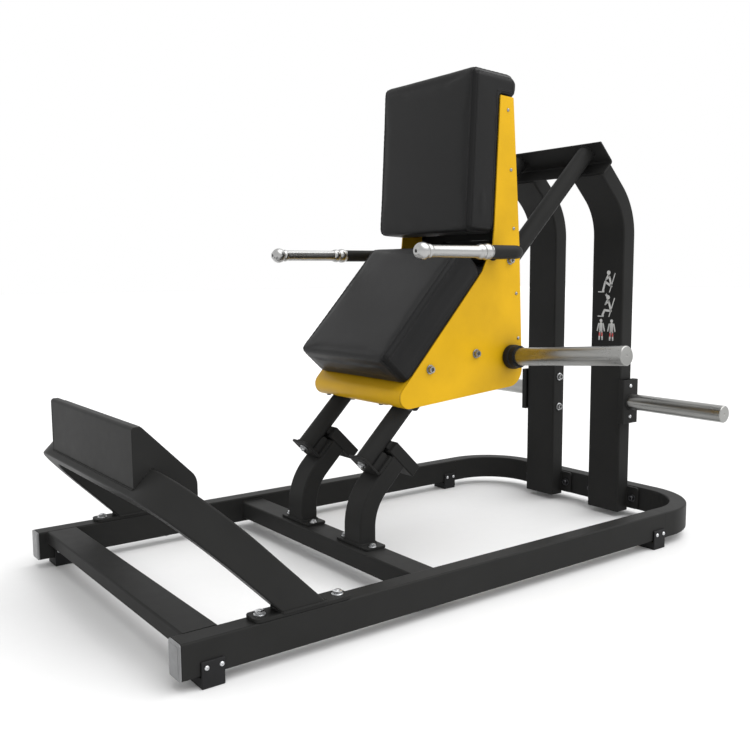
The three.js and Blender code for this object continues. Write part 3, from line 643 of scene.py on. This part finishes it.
def guides():
    for side, s in SIDES:
        x = s * GUIDE_X
        tube = rod(GUIDE_R, GUIDE_LENGTH, on_guide(x, 0, 0), ALONG, 0.6, 64)
        weld = bead(circle(GUIDE_R + 1, on_guide(x, GUIDE_LENGTH - 1, 0), ALONG), closed=True)
        stand_in(f"guide_rail_{side}", "tube", [tube, weld])
        guide_shoe(side, x)
        leg_head(side, x)
        stop(side, x)


def guide_shoe(side, x):
    """The plates that hold the lower end of a guide: across its end, under it and down its middle."""
    bottom, plate_h, floor_t = -41.1, 68.1, 8
    middle = bottom + plate_h / 2
    plate = prism(rounded(75, plate_h, 7), -6.3, -0.3, lambda u, v, w: on_guide(x + u, w, middle + v))
    floor = prism(rounded(75, 56, 3), bottom, bottom + floor_t, lambda u, v, w: on_guide(x + u, 27 + v, w))
    sides = outline([(-0.5, bottom + 7, 0), (52, bottom + 7, 8), (52, -12, 8), (-0.5, -12, 0)])
    cheek = prism(sides, -29, 29, lambda u, v, w: on_guide(x + w, u, v), 2.0)
    weld = bead(circle(GUIDE_R + 1, on_guide(x, 0.6, 0), ALONG), 2.2, closed=True)
    parts = [plate, floor, cheek, weld]
    stand_in(f"guide_shoe_{side}", "weldment", parts)
    bolt("frame", on_guide(x, -6.3, 0), -ALONG, ZINC, 9)


def leg_head(side, x):
    """The block across the top of a leg, with the lug that meets the guide's shoe."""
    place = lambda u, v, w: on_guide(x + u, 77.5 + v, w)
    head = prism(rounded(75, 35, 4), -132, -25.8, place, 2.0)
    lug = prism(rounded(52, 24, 3), -27, -14, place, 1.5)
    stand_in(f"leg_head_{side}", "block", [head, lug])


def stop(side, x):
    """A clamp collar on the guide, and the ribbed buffer that the carriage rests on."""
    collar = [(26, 0), (35, 0), (36, 1), (36, 17), (35, 18), (26, 18)]
    ring = lathe(collar, on_guide(x, 203.4, 0), ALONG)
    stand_in(f"stop_collar_{side}", "ring", ring)
    fastener("cap", "frame", on_guide(x, 212.4, -35.4), -SQUARE, DARK_STEEL, 4)
    ribs = [(33, 2), (32, 8), (33, 12), (32, 16), (33, 20), (32, 26)]
    buffer = lathe([(26, 0), (31.5, 0), *ribs, (31, 30), (26, 30)], on_guide(x, 221.7, 0), ALONG)
    stand_in(f"stop_buffer_{side}", "rubber", buffer, "frame", RUBBER)


def legs():
    foot = MID_TOP + 7.3
    top_y, top_z = side_view(on_guide(0, 59.7, -66.4))
    corners = [(LEG_Y, foot, 0), (LEG_Y, top_z - (top_y - LEG_Y), 150), (top_y, top_z, 0)]
    for side, s in SIDES:
        x = s * GUIDE_X
        tube = sweep(rounded(75, 50, 5), [at(x, y, z) for y, z in outline(corners, 18)], X, 0.4)
        ring = [at(x + u, LEG_Y + v, foot + 0.6) for u, v in rounded(76.5, 51.5, 5)]
        weld = bead(ring, 3.0, closed=True)
        stand_in(f"leg_{side}", "tube", [tube, weld])
        place = lambda u, v, w: at(x + u, LEG_Y + 2 + v, w)
        plate = prism(rounded(142, 62, 7), MID_TOP, MID_TOP + 7.1, place, 1.3)
        stand_in(f"leg_base_plate_{side}", "skin", plate)
        for u in (-61, 61):
            bolt("frame", at(x + u, 656, MID_TOP + 7), Z, ZINC, 7.5)


# ---- uprights and storage


def uprights():
    top_y, top_z = side_view(on_guide(0, WEB - UPRIGHT_D / 2, -50.2))
    corners = [(UPRIGHT_Y, 17, 0), (UPRIGHT_Y, top_z - (UPRIGHT_Y - top_y), 190), (top_y, top_z, 0)]
    for side, s in SIDES:
        x = s * UPRIGHT_X
        path = [at(x, y, z) for y, z in outline(corners, 24)]
        tube = sweep(rounded(UPRIGHT_W, UPRIGHT_D, 6), path, X, 1.4)
        cross = on_guide(x, WEB - UPRIGHT_D / 2, -50.6)
        top = rounded(UPRIGHT_W + 1.5, UPRIGHT_D + 1.5, 6)
        weld = bead([cross + (X * u + ALONG * v) / 1000 for u, v in top], 2.8, closed=True)
        parts = [tube, *ears(x), weld]
        stand_in(f"upright_{side}", "tube", parts)
        for e in (1, -1):
            bolt("frame", at(x + e * 84, UPRIGHT_Y + UPRIGHT_D / 2 - 8, 62), -Y, DARK_STEEL, 9, "cap")
            inner = at(x - s * UPRIGHT_W / 2, UPRIGHT_Y + 2, STORAGE_Z + e * 52)
            fastener("cap", "frame", inner, -X * s, STEEL, 9.8)
            fastener("washer", "frame", inner, -X * s, ZINC, 12.6)


def ears(x):
    """The plate across the foot of an upright, bolted to the hoop on both sides, and its welds."""
    back = UPRIGHT_Y + UPRIGHT_D / 2
    plate = prism(rounded(UPRIGHT_W + 88, 70, 10), back - 8, back, lambda u, v, w: at(x + u, w, 62 + v))
    edges = [x + e * (UPRIGHT_W / 2 + 0.6) for e in (1, -1)]
    return [plate] + [bead([at(edge, back - 8.6, z) for z in (30, 94)]) for edge in edges]


def top_crossbar():
    """An angle section: its web is square to the guides, its flange lies on the uprights."""
    section = outline([(WEB - UPRIGHT_D, -50, 2.5), (WEB, -50, 9), (WEB, 30.4, 2.5), (WEB - 6, 30.4, 2.5),
                       (WEB - 6, -44, 5), (WEB - UPRIGHT_D, -44, 2.5)])
    angle = prism(section, -211, 211, lambda u, v, w: on_guide(w, u, v), 1.4)
    stand_in("top_crossbar", "angle", angle)


def storage():
    root = UPRIGHT_X + UPRIGHT_W / 2 + 0.2
    face = root + 19.4
    section = outline([(root, -37, 0.8), (face, -37, 5), (face, 37, 5), (root, 37, 0.8), (root, 31, 0.8),
                       (face - 6, 31, 1.5), (face - 6, -31, 1.5), (root, -31, 0.8)], 5)
    for side, s in SIDES:
        place = lambda u, v, w: at(s * u, STORAGE_Y + v, STORAGE_Z + w)
        origin = place(face, 0, 0)
        parts = [prism(section, -70, 70, place, 1.3), bead(circle(HORN_R + 1, origin, X), closed=True)]
        stand_in(f"storage_bracket_{side}", "channel", parts)
        bar = horn(0, 328, origin, X * s)
        stand_in(f"storage_horn_{side}", "bar", bar, "frame", CHROME)
        for z in (-48, 50):
            fastener("screw", "frame", place(face - 0.2, -2, z), X * s, ZINC, 6)


def horn(start, length, origin, axis):
    """A polished bar with a chamfered end and a shallow turned centre."""
    r, end = HORN_R, length - 0.25
    profile = [(r, start), (r, length - 2.4), (r - 0.6, length - 1.2), (r - 2.2, length), (r - 3.4, end),
               (3.2, end), (2.6, length - 1.6), (0.6, length - 3.2)]
    return lathe(profile, origin, axis, 72)


# ---- foot plate


def foot_arch():
    """A tube arch that leans forward by 45 degrees, cut level above its two flanges."""
    line = hoop(ARCH_LOW, ARCH_CROWN)
    path = [at(x, (ARCH_OUT - up) / ROOT_2, (ARCH_OUT + up) / ROOT_2) for x, up in line]
    tube = sweep(rounded(RAIL_H, RAIL_W, 5), path, ALONG, 0.3)
    arch = mesh_object("foot_arch_tube", [tube], BLACK["material"])
    level = (0, 0, (FLANGE_TOP + 0.1) / 1000)

    def cut(bm):
        geometry = bm.verts[:] + bm.edges[:] + bm.faces[:]
        bmesh.ops.bisect_plane(bm, geom=geometry, dist=1e-6, plane_co=level, plane_no=-Z, clear_outer=True)
        bmesh.ops.holes_fill(bm, edges=[e for e in bm.edges if e.is_boundary], sides=0)

    edited(arch.data, cut)
    arch.modifiers.new("normals", "WEIGHTED_NORMAL").keep_sharp = True
    belongs(arch, "frame", "foot_arch")


def arch_flanges():
    middle = ARCH_OUT * ROOT_2 - (FLANGE_TOP + 0.1)
    for side, s in SIDES:
        place = lambda u, v, w: at(s * RAIL_X + u, v, w)
        slab = [(u, 282 + v) for u, v in rounded(RAIL_W, 235, 13)]
        plate = prism(slab, RAIL_TOP, FLANGE_TOP, place, 1.3)
        foot = rounded(RAIL_W + 1.2, RAIL_H * ROOT_2 + 1.5, 5)
        weld = bead([place(u, middle + v, FLANGE_TOP + 0.7) for u, v in foot], 3.0, closed=True)
        stand_in(f"arch_flange_{side}", "plate", [plate, weld])
        for y in (187, 377):
            bolt("frame", place(0, y, FLANGE_TOP - 0.1), Z, ZINC, 9.5)
            fastener("hex", "frame", place(0, y, CLEAR + 0.2), -Z, ZINC, 8)


def foot_box():
    """A folded sheet with side panels; its tread is square to the guides and its back meets the arch."""
    out, side = ARCH_OUT + RAIL_H / 2, ARCH_CROWN + RAIL_W / 2
    corner = ((out - side) / ROOT_2, (out + side) / ROOT_2)
    rise, lean = corner[1] - corner[0], corner[1] + corner[0]
    front, top, back, tread = 6, 484, 148, 510
    bent = [(front, front + rise, 0), (front, top, 8), (tread - top, top, 8), (back, tread - back, 40),
            (back, lean - back, 0)]
    place = lambda u, v, w: at(w, u, v)
    parts = [prism(ribbon(outline(bent, 10), -4), -263, 263, place, 0.8)]
    panel = outline([*bent, (*corner, 0)], 10)
    for s in (1, -1):
        parts.append(prism(panel, s * 261, s * 265, place, 1.9, 4))
    parts.append(bead([at(x, front - 0.3, front + rise - 0.3) for x in (-262, 262)], 2.2))
    edge = ((front, front + rise), corner, (back, lean - back))
    for s in (1, -1):
        parts.append(bead([at(s * 264.5, *point) for point in edge], 2.2))
    stand_in("foot_box", "sheet", parts)
    tread_mat(at(0, 70, tread - 70))


def tread_mat(centre):
    """A thin rubber mat with rows of raised ribs."""
    place = lambda u, v, w: centre + (X * u - SQUARE * v + ALONG * w) / 1000
    parts = [prism(rounded(490, 110, 8), 0.2, 3.0, place, 0.9)]
    for i in range(19):
        rib = [(u + 25 * (i - 9), v) for u, v in rounded(18, 92, 4, 3)]
        parts.append(prism(rib, 2.8, 4.6, place, 0.8, 2))
    stand_in("tread_mat", "ribbed", parts, "frame", RUBBER)


# ---- placard


def placard():
    """Generic pictograms on the right upright: a squat, low and high, and the thighs it trains."""
    face = UPRIGHT_Y - UPRIGHT_D / 2
    place = lambda u, v, w: at(UPRIGHT_X + u, face - w, v)

    def disc(x, z, r):
        return lathe([(r, 0.05), (r, 0.45)], place(x, z, 0), -Y, 20)

    def stroke(points, width):
        """A line with round ends and joints."""
        parts = []
        for a, b in zip(points, points[1:]):
            a, b = Vector(a), Vector(b)
            d = (b - a).normalized()
            n = Vector((-d.y, d.x)) * width / 2
            quad = [tuple(p) for p in (a + n, a - n, b - n, b + n)]
            parts += [prism(quad, 0.05, 0.45, place, 0.05, 1), disc(*b, width / 2)]
        return parts + [disc(*points[0], width / 2)]

    def squatting(z, knee):
        """Seen from the side, with its back on a leaning pad and its feet on a step."""
        return [*stroke([(-34, z - 34), (-12, z - 34), (-12, z - 30)], 3),
                *stroke([(10, z - 34), (30, z + 24)], 3.4),
                *stroke([(8, z + 14), (17, z - 16), (-8, z - 14 + knee), (-16, z - 30)], 7),
                *stroke([(8, z + 14), (-6, z + 4), (2, z + 18)], 4.4), disc(5, z + 27, 7)]

    def standing(x, z):
        """Seen from the front."""
        parts = [disc(x, z + 26, 5.5), *stroke([(x, z + 14), (x, z - 2)], 13)]
        for e in (-1, 1):
            parts += stroke([(x + e * 9, z + 16), (x + e * 14, z - 6)], 4.4)
            parts += stroke([(x + e * 4, z - 8), (x + e * 6, z - 34)], 5.5)
        return parts

    def thigh(x, z):
        return prism([(u + x, v + z) for u, v in rounded(4.4, 13, 2, 3)], 0.4, 0.7, place, 0.05, 1)

    arrow = stroke([(-2, 718), (-2, 712)], 2.6) + stroke([(-6, 715), (-2, 710), (2, 715)], 2.2)
    figures = [*squatting(758, 12), *squatting(680, 0), *arrow, *standing(-21, 606), *standing(21, 606)]
    piece("placard_figures", figures, "frame", PRINT, weighted=False)
    thighs = [thigh(x + e * 5, 588) for x in (-21, 21) for e in (1, -1)]
    piece("placard_marks", thighs, "frame", PRINT_RED, weighted=False)


# ---- carriage


def pad_frame(y, z, tilt):
    """Returns place(x, up, depth) for a pad whose front face leans back by tilt degrees."""
    c, s = cos(radians(tilt)), sin(radians(tilt))
    return lambda x, up, depth: at(x, y + up * s + depth * c, z + up * c - depth * s)


# A profile's corners are depth, height and radius. The upper pad has a lip over the side plates.
UPPER = dict(place=pad_frame(983, 900, 3), height=429, depth=92, lip=373,
             profile=[(0, 0, 12), (92, 0, 8), (92, 373, 0), (150, 373, 12), (150, 433, 22), (0, 434, 12)])
LOWER = dict(place=pad_frame(695, 571, 42.5), height=398, depth=100, lip=None,
             profile=[(0, 0, 11), (100, 0, 8), (100, 398, 20), (0, 398, 14)])


def behind(pad, up, extra=0.3):
    """The y and z of a point just behind a pad."""
    return side_view(pad["place"](0, up, pad["depth"] + extra))


def underside(y):
    """The height of the carriage's underside."""
    return NOSE[1] + (y - NOSE[0]) * (TAIL[1] - NOSE[1]) / (TAIL[0] - NOSE[0])


def side_plates():
    under_lip = UPPER["lip"] - 2
    corners = [(*behind(LOWER, 392), 0), (1072, 866, 10), (*behind(UPPER, 8), 10),
               (*behind(UPPER, under_lip), 0), (*behind(UPPER, under_lip, 50), 3), (1174, 865, 200),
               (*TAIL, 50), (*NOSE, 30)]
    shape = outline(corners, 12)
    for side, s in SIDES:
        sheet = prism(shape, PLATE_IN, PLATE_X, lambda u, v, w: at(s * w, u, v), 1.0)
        stand_in(f"side_plate_{side}", "sheet", sheet, "carriage", YELLOW)
        for y, z in ((1123, 1228), (1137, 1069), (1150, 910), (1163, 730), (1173, 604)):
            fastener("screw", "carriage", at(s * (PLATE_X - 0.1), y, z), X * s, STEEL, 4.8)
        for y, z in ((847, 537), (1011, 569), (1137, 823)):
            bolt("carriage", at(s * (PLATE_X - 0.1), y, z), X * s, STEEL, 9.2, "cap")


def nose():
    """The folded sheet under the lower pad, notched so that it passes over the stops."""
    line = outline([(*behind(LOWER, 24), 0), (*NOSE, 30), (806, underside(806), 0)], 14)
    sheet = prism(ribbon(line, 4), -BETWEEN, BETWEEN, lambda u, v, w: at(w, u, v), 0.8)
    ob = mesh_object("front_nose_sheet", [sheet], YELLOW["material"])
    for s in (1, -1):
        notch = rod(39, 400, on_guide(s * GUIDE_X, 0, 0), ALONG, 0.1, 64)
        tool = mesh_object("notch_tool", [notch], YELLOW["material"])
        cutter = ob.modifiers.new("notch", "BOOLEAN")
        cutter.object, cutter.operation, cutter.solver = tool, "DIFFERENCE", "EXACT"
        apply_modifiers(ob)
        bpy.data.objects.remove(tool)
    shaded(ob.data)
    belongs(ob, "carriage", "front_nose")
    for x in (66, 189, -66, -189):
        fastener("cap", "carriage", at(x, 788, underside(788)), -Z, DARK_STEEL, 6.5)


def rear_cover(name, top, bottom, half, skirts=False):
    """A flanged sheet between two heights (y, z of its outer face), with a screw at each corner.
    Its skirts close the gap above the two bearing blocks."""
    top, bottom = Vector(top), Vector(bottom)
    length, run = (bottom - top).length, (bottom - top).normalized()
    inward = Vector((run.y, -run.x))

    def place(u, v, w):
        p = top + run * w + inward * v
        return at(u, p.x, p.y)

    line = outline([(-half, 18, 0), (-half, 0, 6), (half, 0, 6), (half, 18, 0)], 6)
    parts = [prism(ribbon(line, 3), 0, length, place, 0.7)]
    if skirts:
        for s in (1, -1):
            strip = [(s * 106, 0), (s * half, 0), (s * half, 3), (s * 106, 3)][::s]
            parts.append(prism(strip, length - 0.5, length + 22, place, 0.3))
    stand_in(name, "sheet", parts, "carriage", BLACK)
    for s in (1, -1):
        for w in (30, length - 30):
            fastener("screw", "carriage", place(s * (half - 24), 0, w), Y, STEEL, 5)


def rear_covers():
    rear_cover("rear_cover_upper", (1137, 1262), (1170, 882), BETWEEN, skirts=True)
    rear_cover("rear_cover_middle", (1170.1, 881.8), (1174.9, 738.2), 104.4)
    rear_cover("rear_cover_lower", (1175, 738), (1185, 585), BETWEEN)


# ---- cushions


def padded_block(shape, depth, place):
    """A pad's closed form: rounded at its side edges, and more so at the corners of its face,
    but full where it sits on the plates."""
    half, radius, corner, reach = 200.8, 13, 25, 40
    low, high = min(v for _, v in shape), max(v for _, v in shape)
    middle, span = (low + high) / 2, (high - low) / 2
    steps = [radius * (1 - cos(pi / 12 * i)) for i in range(7)]
    steps += [radius + (corner - radius) * i / 4 for i in range(1, 5)]
    rings = []
    for sign in (-1, 1):
        for t in steps[::-sign]:
            edge = radius - sqrt(radius ** 2 - max(0, radius - t) ** 2)
            extra = corner - sqrt(corner ** 2 - (corner - t) ** 2) - edge
            ring = []
            for (u, v), (u0, _) in zip(inset(shape, edge), shape):
                near = max(0, 1 - (span - abs(v - middle)) / reach)
                v -= copysign(extra * near, v - middle)
                ring.append(place(sign * (half - t), v, max(u, u0) if u0 > depth - 2 else u))
            rings.append(ring)
    return loft(rings)


def pad_axes(pad):
    """The middle of a pad's lower front edge, and its directions up and back."""
    place = pad["place"]
    zero = place(0, 0, 0)
    return zero, (place(0, 1000, 0) - zero).normalized(), (place(0, 0, 1000) - zero).normalized()


def inflate(ob):
    """Fills the cover with air for a moment, so that it crowns and its sides pull in."""
    last = 20
    cloth = ob.modifiers.new("cloth", "CLOTH")
    fabric = cloth.settings
    fabric.use_pressure, fabric.uniform_pressure_force = True, 4
    fabric.effector_weights.gravity = 0
    fabric.quality, fabric.mass = 5, 0.3
    fabric.tension_stiffness = fabric.compression_stiffness = 25
    fabric.bending_stiffness = 2
    cloth.point_cache.frame_start, cloth.point_cache.frame_end = 1, last
    for i in range(1, last + 1):
        bpy.context.scene.frame_set(i)
    apply_modifiers(ob)
    bpy.context.scene.frame_set(1)


def calmed(ob, moves, rounds):
    """Spreads each point's move over its neighbours, so that a form swells without creases."""
    near = [[] for _ in moves]
    for edge in ob.data.edges:
        a, b = edge.vertices
        near[a].append(b)
        near[b].append(a)
    for _ in range(rounds):
        moves = [(m + sum((moves[j] for j in n), Vector())) / (1 + len(n)) for m, n in zip(moves, near)]
    return moves


def near_corner(x, u, height):
    """1 at a corner of the pad's face, 0 from 40 mm away."""
    across = (abs(x) - 160) / 40
    up = (abs(u - height / 2) - height / 2 + 40) / 40
    return max(0, min(1, across)) * max(0, min(1, up))


def crown(ob, pad, rest, normals):
    """Keeps what the air did where the cover swelled, calmed and limited, but nothing at the
    corners of its face or where it would enter the plates behind it."""
    most, side_limit = 0.003, 0.2022
    zero, up, back = pad_axes(pad)
    seat, lip = pad["depth"] - 0.6, pad["lip"]
    moves = calmed(ob, [v.co - r for v, r in zip(ob.data.vertices, rest)], 14)
    for v, r, move, normal in zip(ob.data.vertices, rest, moves, normals):
        d0, u0 = (r - zero).dot(back) * 1000, (r - zero).dot(up) * 1000
        swelling = 0.9 - 0.9 * near_corner(r.x * 1000, u0, pad["height"])
        move = move * (swelling if move.dot(normal) > 0 else 0.05)
        if move.length > most:
            move = move * most / move.length
        p = r + move
        d, u = (p - zero).dot(back) * 1000, (p - zero).dot(up) * 1000
        if d > seat and (lip is None or u0 < lip - 1):
            p -= back * (d - seat) / 1000
        if lip is not None and d0 > pad["depth"] and u < lip + 0.8:
            p += up * (lip + 0.8 - u) / 1000
        p.x = max(-side_limit, min(side_limit, p.x))
        v.co = p


def gather(ob, pad):
    """Small pleats that fan out from the corners of the cover's front face."""
    edge, reach, depth = 178, 22, 30  # pleats lie outside x = edge, and this far from the corner
    zero, up, back = pad_axes(pad)
    normals = [v.normal.copy() for v in ob.data.vertices]
    for v, normal in zip(ob.data.vertices, normals):
        local = v.co - zero
        x, u, d = abs(local.x) * 1000, local.dot(up) * 1000, local.dot(back) * 1000
        u = min(u, pad["height"] - u)
        away = hypot(max(0.0, x - edge), max(0.0, reach - u))
        if x < edge or u > reach or d > depth or away < 4:
            continue
        angle = atan2(reach - u, x - edge)
        fade = min(1.0, (away - 4) / 8) * max(0.0, 1 - d / depth) * sin(2 * angle) ** 2
        v.co += normal * 0.0009 * fade * sin(angle * 22)


def seams(name, ob, pad):
    """Seams on the cover: around both side panels and around the face, each with a row of stitches."""
    tree = BVHTree.FromPolygons([v.co for v in ob.data.vertices], [p.vertices[:] for p in ob.data.polygons])
    profile = outline(pad["profile"], 8)

    def on_cover(x, depth, up, lift):
        """The cover's nearest point to a place on the pad, lifted off the cover."""
        hit, normal, _, _ = tree.find_nearest(pad["place"](x, up, depth))
        return hit + normal * lift / 1000

    def welt(x, line, radius):
        loop = []
        for (u, v), (nu, nv) in zip(line, line[1:] + line[:1]):
            n = max(1, round(hypot(nu - u, nv - v) / 4))
            loop += [on_cover(x, u + (nu - u) * k / n, v + (nv - v) * k / n, -0.5) for k in range(n)]
        return bead(loop, radius, 16, closed=True)

    def stitches(x, line):
        stitch, pitch = 3.4, 5.2
        row, walk = [], 0.0
        for (u, v), (nu, nv) in zip(line, line[1:] + line[:1]):
            length = hypot(nu - u, nv - v)
            while walk < length:
                shares = walk / length, min(1.0, (walk + stitch) / length)
                a, b = (on_cover(x, u + (nu - u) * k, v + (nv - v) * k, 0.1) for k in shares)
                long = (b - a).length * 1000
                if long > 1:
                    row.append(lathe([(0.25, 0), (0.5, 0.5), (0.5, long - 0.5), (0.25, long)], a, b - a, 6))
                walk += pitch
            walk -= length
        return row

    welts, rows = [], []
    for s in (1, -1):
        welts += [welt(s * 200, inset(profile, 10.5), 1.3), welt(s * 188.5, profile, 2.0)]
        rows += stitches(s * 200, inset(profile, 15)) + stitches(s * 184, profile)
    piece(f"{name}_welt", welts, "carriage", VINYL, weighted=False, smooth=70)
    piece(f"{name}_stitches", rows, "carriage", THREAD, weighted=False, smooth=70)


def cushions():
    for name, pad in (("upper_pad", UPPER), ("lower_pad", LOWER)):
        form = padded_block(inset(outline(pad["profile"], 8), -1.0), pad["depth"], pad["place"])
        ob = mesh_object(f"{name}_cushion", [form], VINYL["material"], 60)
        remesh = ob.modifiers.new("remesh", "REMESH")
        remesh.mode, remesh.voxel_size = "VOXEL", 0.0052
        apply_modifiers(ob)
        rest = [v.co.copy() for v in ob.data.vertices]
        normals = [v.normal.copy() for v in ob.data.vertices]
        inflate(ob)
        crown(ob, pad, rest, normals)
        smooth = ob.modifiers.new("smooth", "SUBSURF")
        smooth.levels = smooth.render_levels = 1
        apply_modifiers(ob)
        gather(ob, pad)
        ob.data.shade_smooth()
        ob.data.materials.clear()
        ob.data.materials.append(VINYL["material"])
        belongs(ob, "carriage", name)
        seams(name, ob, pad)


# ---- handle, horns, inner works


def ball(middle, r, start, end, steps):
    """Part of a ball's outline, from one angle to another in degrees."""
    angles = [radians(start + (end - start) * i / steps) for i in range(steps + 1)]
    return [(r * sin(a), middle - r * cos(a)) for a in angles]


def handles():
    end_x = HANDLE_X + (HANDLE_Y - GRIP_Y) * tan(SPLAY)
    corners = [(end_x, GRIP_Y, 0), (HANDLE_X, HANDLE_Y, 48), (-HANDLE_X, HANDLE_Y, 48), (-end_x, GRIP_Y, 0)]
    ring = [(HANDLE_R * cos(a), HANDLE_R * sin(a)) for a in (pi / 20 * i for i in range(40))]
    bar = sweep(ring, [at(x, y, HANDLE_Z) for x, y in outline(corners, 18)], Z, 0.6)
    welds = [bead(circle(18.3, at(s * (PLATE_X + 0.6), HANDLE_Y, HANDLE_Z), X), closed=True) for s in (1, -1)]
    stand_in("handle_bar", "tube", [bar, *welds], "carriage", BLACK)
    profile = [(16.5, 0), (17.6, 0.8), (17.6, 3), *ball(15, 21, 52, 118, 8), (17.8, 27),
               *ball(36, 19.6, 62, 126, 8), (15.9, 51), (15.5, 54), (15.5, 206), (15.9, 209), (17.2, 212),
               (17.6, 215), (17.0, 217), *ball(234.5, 21.5, 48, 148, 16), (9.5, 255), (4.6, 255.1),
               (4, 254.6), (4, 246)]
    for side, s in SIDES:
        axis = Vector((s * sin(SPLAY), -cos(SPLAY), 0))
        grip = lathe(profile, at(s * end_x, GRIP_Y, HANDLE_Z), axis, 64)
        stand_in(f"handle_grip_{side}", "chrome", grip, "carriage", GRIP_CHROME, 32, False)


def weight_horns():
    profile = [(25.2, 1.5), (32, 1.5), (34, 3.5), (34, 19), (33.2, 20.4), (31.6, 21), (31.2, 23),
               (31.2, 35.5), (29.8, 38), (25.2, 38)]
    for side, s in SIDES:
        axis = Vector((s * cos(HORN_TILT), 0, sin(HORN_TILT)))
        root = at(s * PLATE_X, HORN_Y, HORN_Z)
        collar = lathe(profile, root, axis, 72)
        stand_in(f"horn_collar_{side}", "ring", collar, "carriage", NYLON, 32, False)
        bar = horn(2.5, 400, root, axis)
        stand_in(f"weight_horn_{side}", "bar", bar, "carriage", CHROME, 40, False)


def inner_works():
    keep_node("cross_tube", BLACK, 0.8)
    keep_node("horn_axle", BLACK, 0)
    for level in ("lower", "upper"):
        keep_node(f"{level}_pad_board", PLY, 0.8)
        for side, _ in SIDES:
            keep_node(f"bearing_block_{level}_{side}", ALUMINIUM, 1.2)


# ---- the scene


def stage():
    """A white room with one broad, soft light from above."""
    bpy.context.scene.view_settings.view_transform = "Standard"
    world = bpy.data.worlds.new("studio")
    bpy.context.scene.world = world
    world.use_nodes = True
    preset(world.node_tree.nodes["Background"], Color=(1, 1, 1, 1), Strength=1)
    n = Nodes("studio_floor")
    cloud = n.noise(1.4, 3)
    n.colour(n.mix(n.spread(cloud, 0, 1), (0.7, 0.7, 0.7), (0.73, 0.73, 0.73)))
    n.rough(n.spread(n.noise(30, 3), 0.5, 0.62))
    n.bump(n.noise(200, 2), 0.05, 0.3)
    corners = [Vector((x, y, 0)) for x, y in ((-30, -30), (30, -30), (30, 30), (-30, 30))]
    mesh_object("studio_floor", [(corners, [(0, 1, 2, 3)])], n.material)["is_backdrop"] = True
    light = bpy.data.lights.new("top", "SUN")
    light.energy, light.angle = 2.7, radians(75)
    linked("top", light).rotation_euler = (radians(-20), radians(22), 0)


def camera():
    """A camera in front of the machine and to its right, a little below the tops of the pads."""
    azimuth, pitch, roll = radians(53.407), radians(6.721), radians(-0.341)
    data = bpy.data.cameras.new("camera")
    data.lens, data.sensor_width = 42.66, 36
    ob = linked("camera", data)
    turn = Matrix.Rotation(azimuth, 4, "Z") @ Matrix.Rotation(pi / 2 - pitch, 4, "X")
    turn = turn @ Matrix.Rotation(roll, 4, "Z")
    ob.matrix_world = Matrix.Translation(at(1981, -653.8, 797)) @ turn
    bpy.context.scene.camera = ob


def plain(bounds):
    return [[float(c) for c in corner] for corner in bounds]


base_frame()
feet()
guides()
legs()
uprights()
top_crossbar()
storage()
foot_arch()
arch_flanges()
foot_box()
placard()
side_plates()
nose()
rear_covers()
cushions()
handles()
weight_horns()
inner_works()
stage()
camera()

{"cad": plain(cad_box), "visual": plain(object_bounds())}
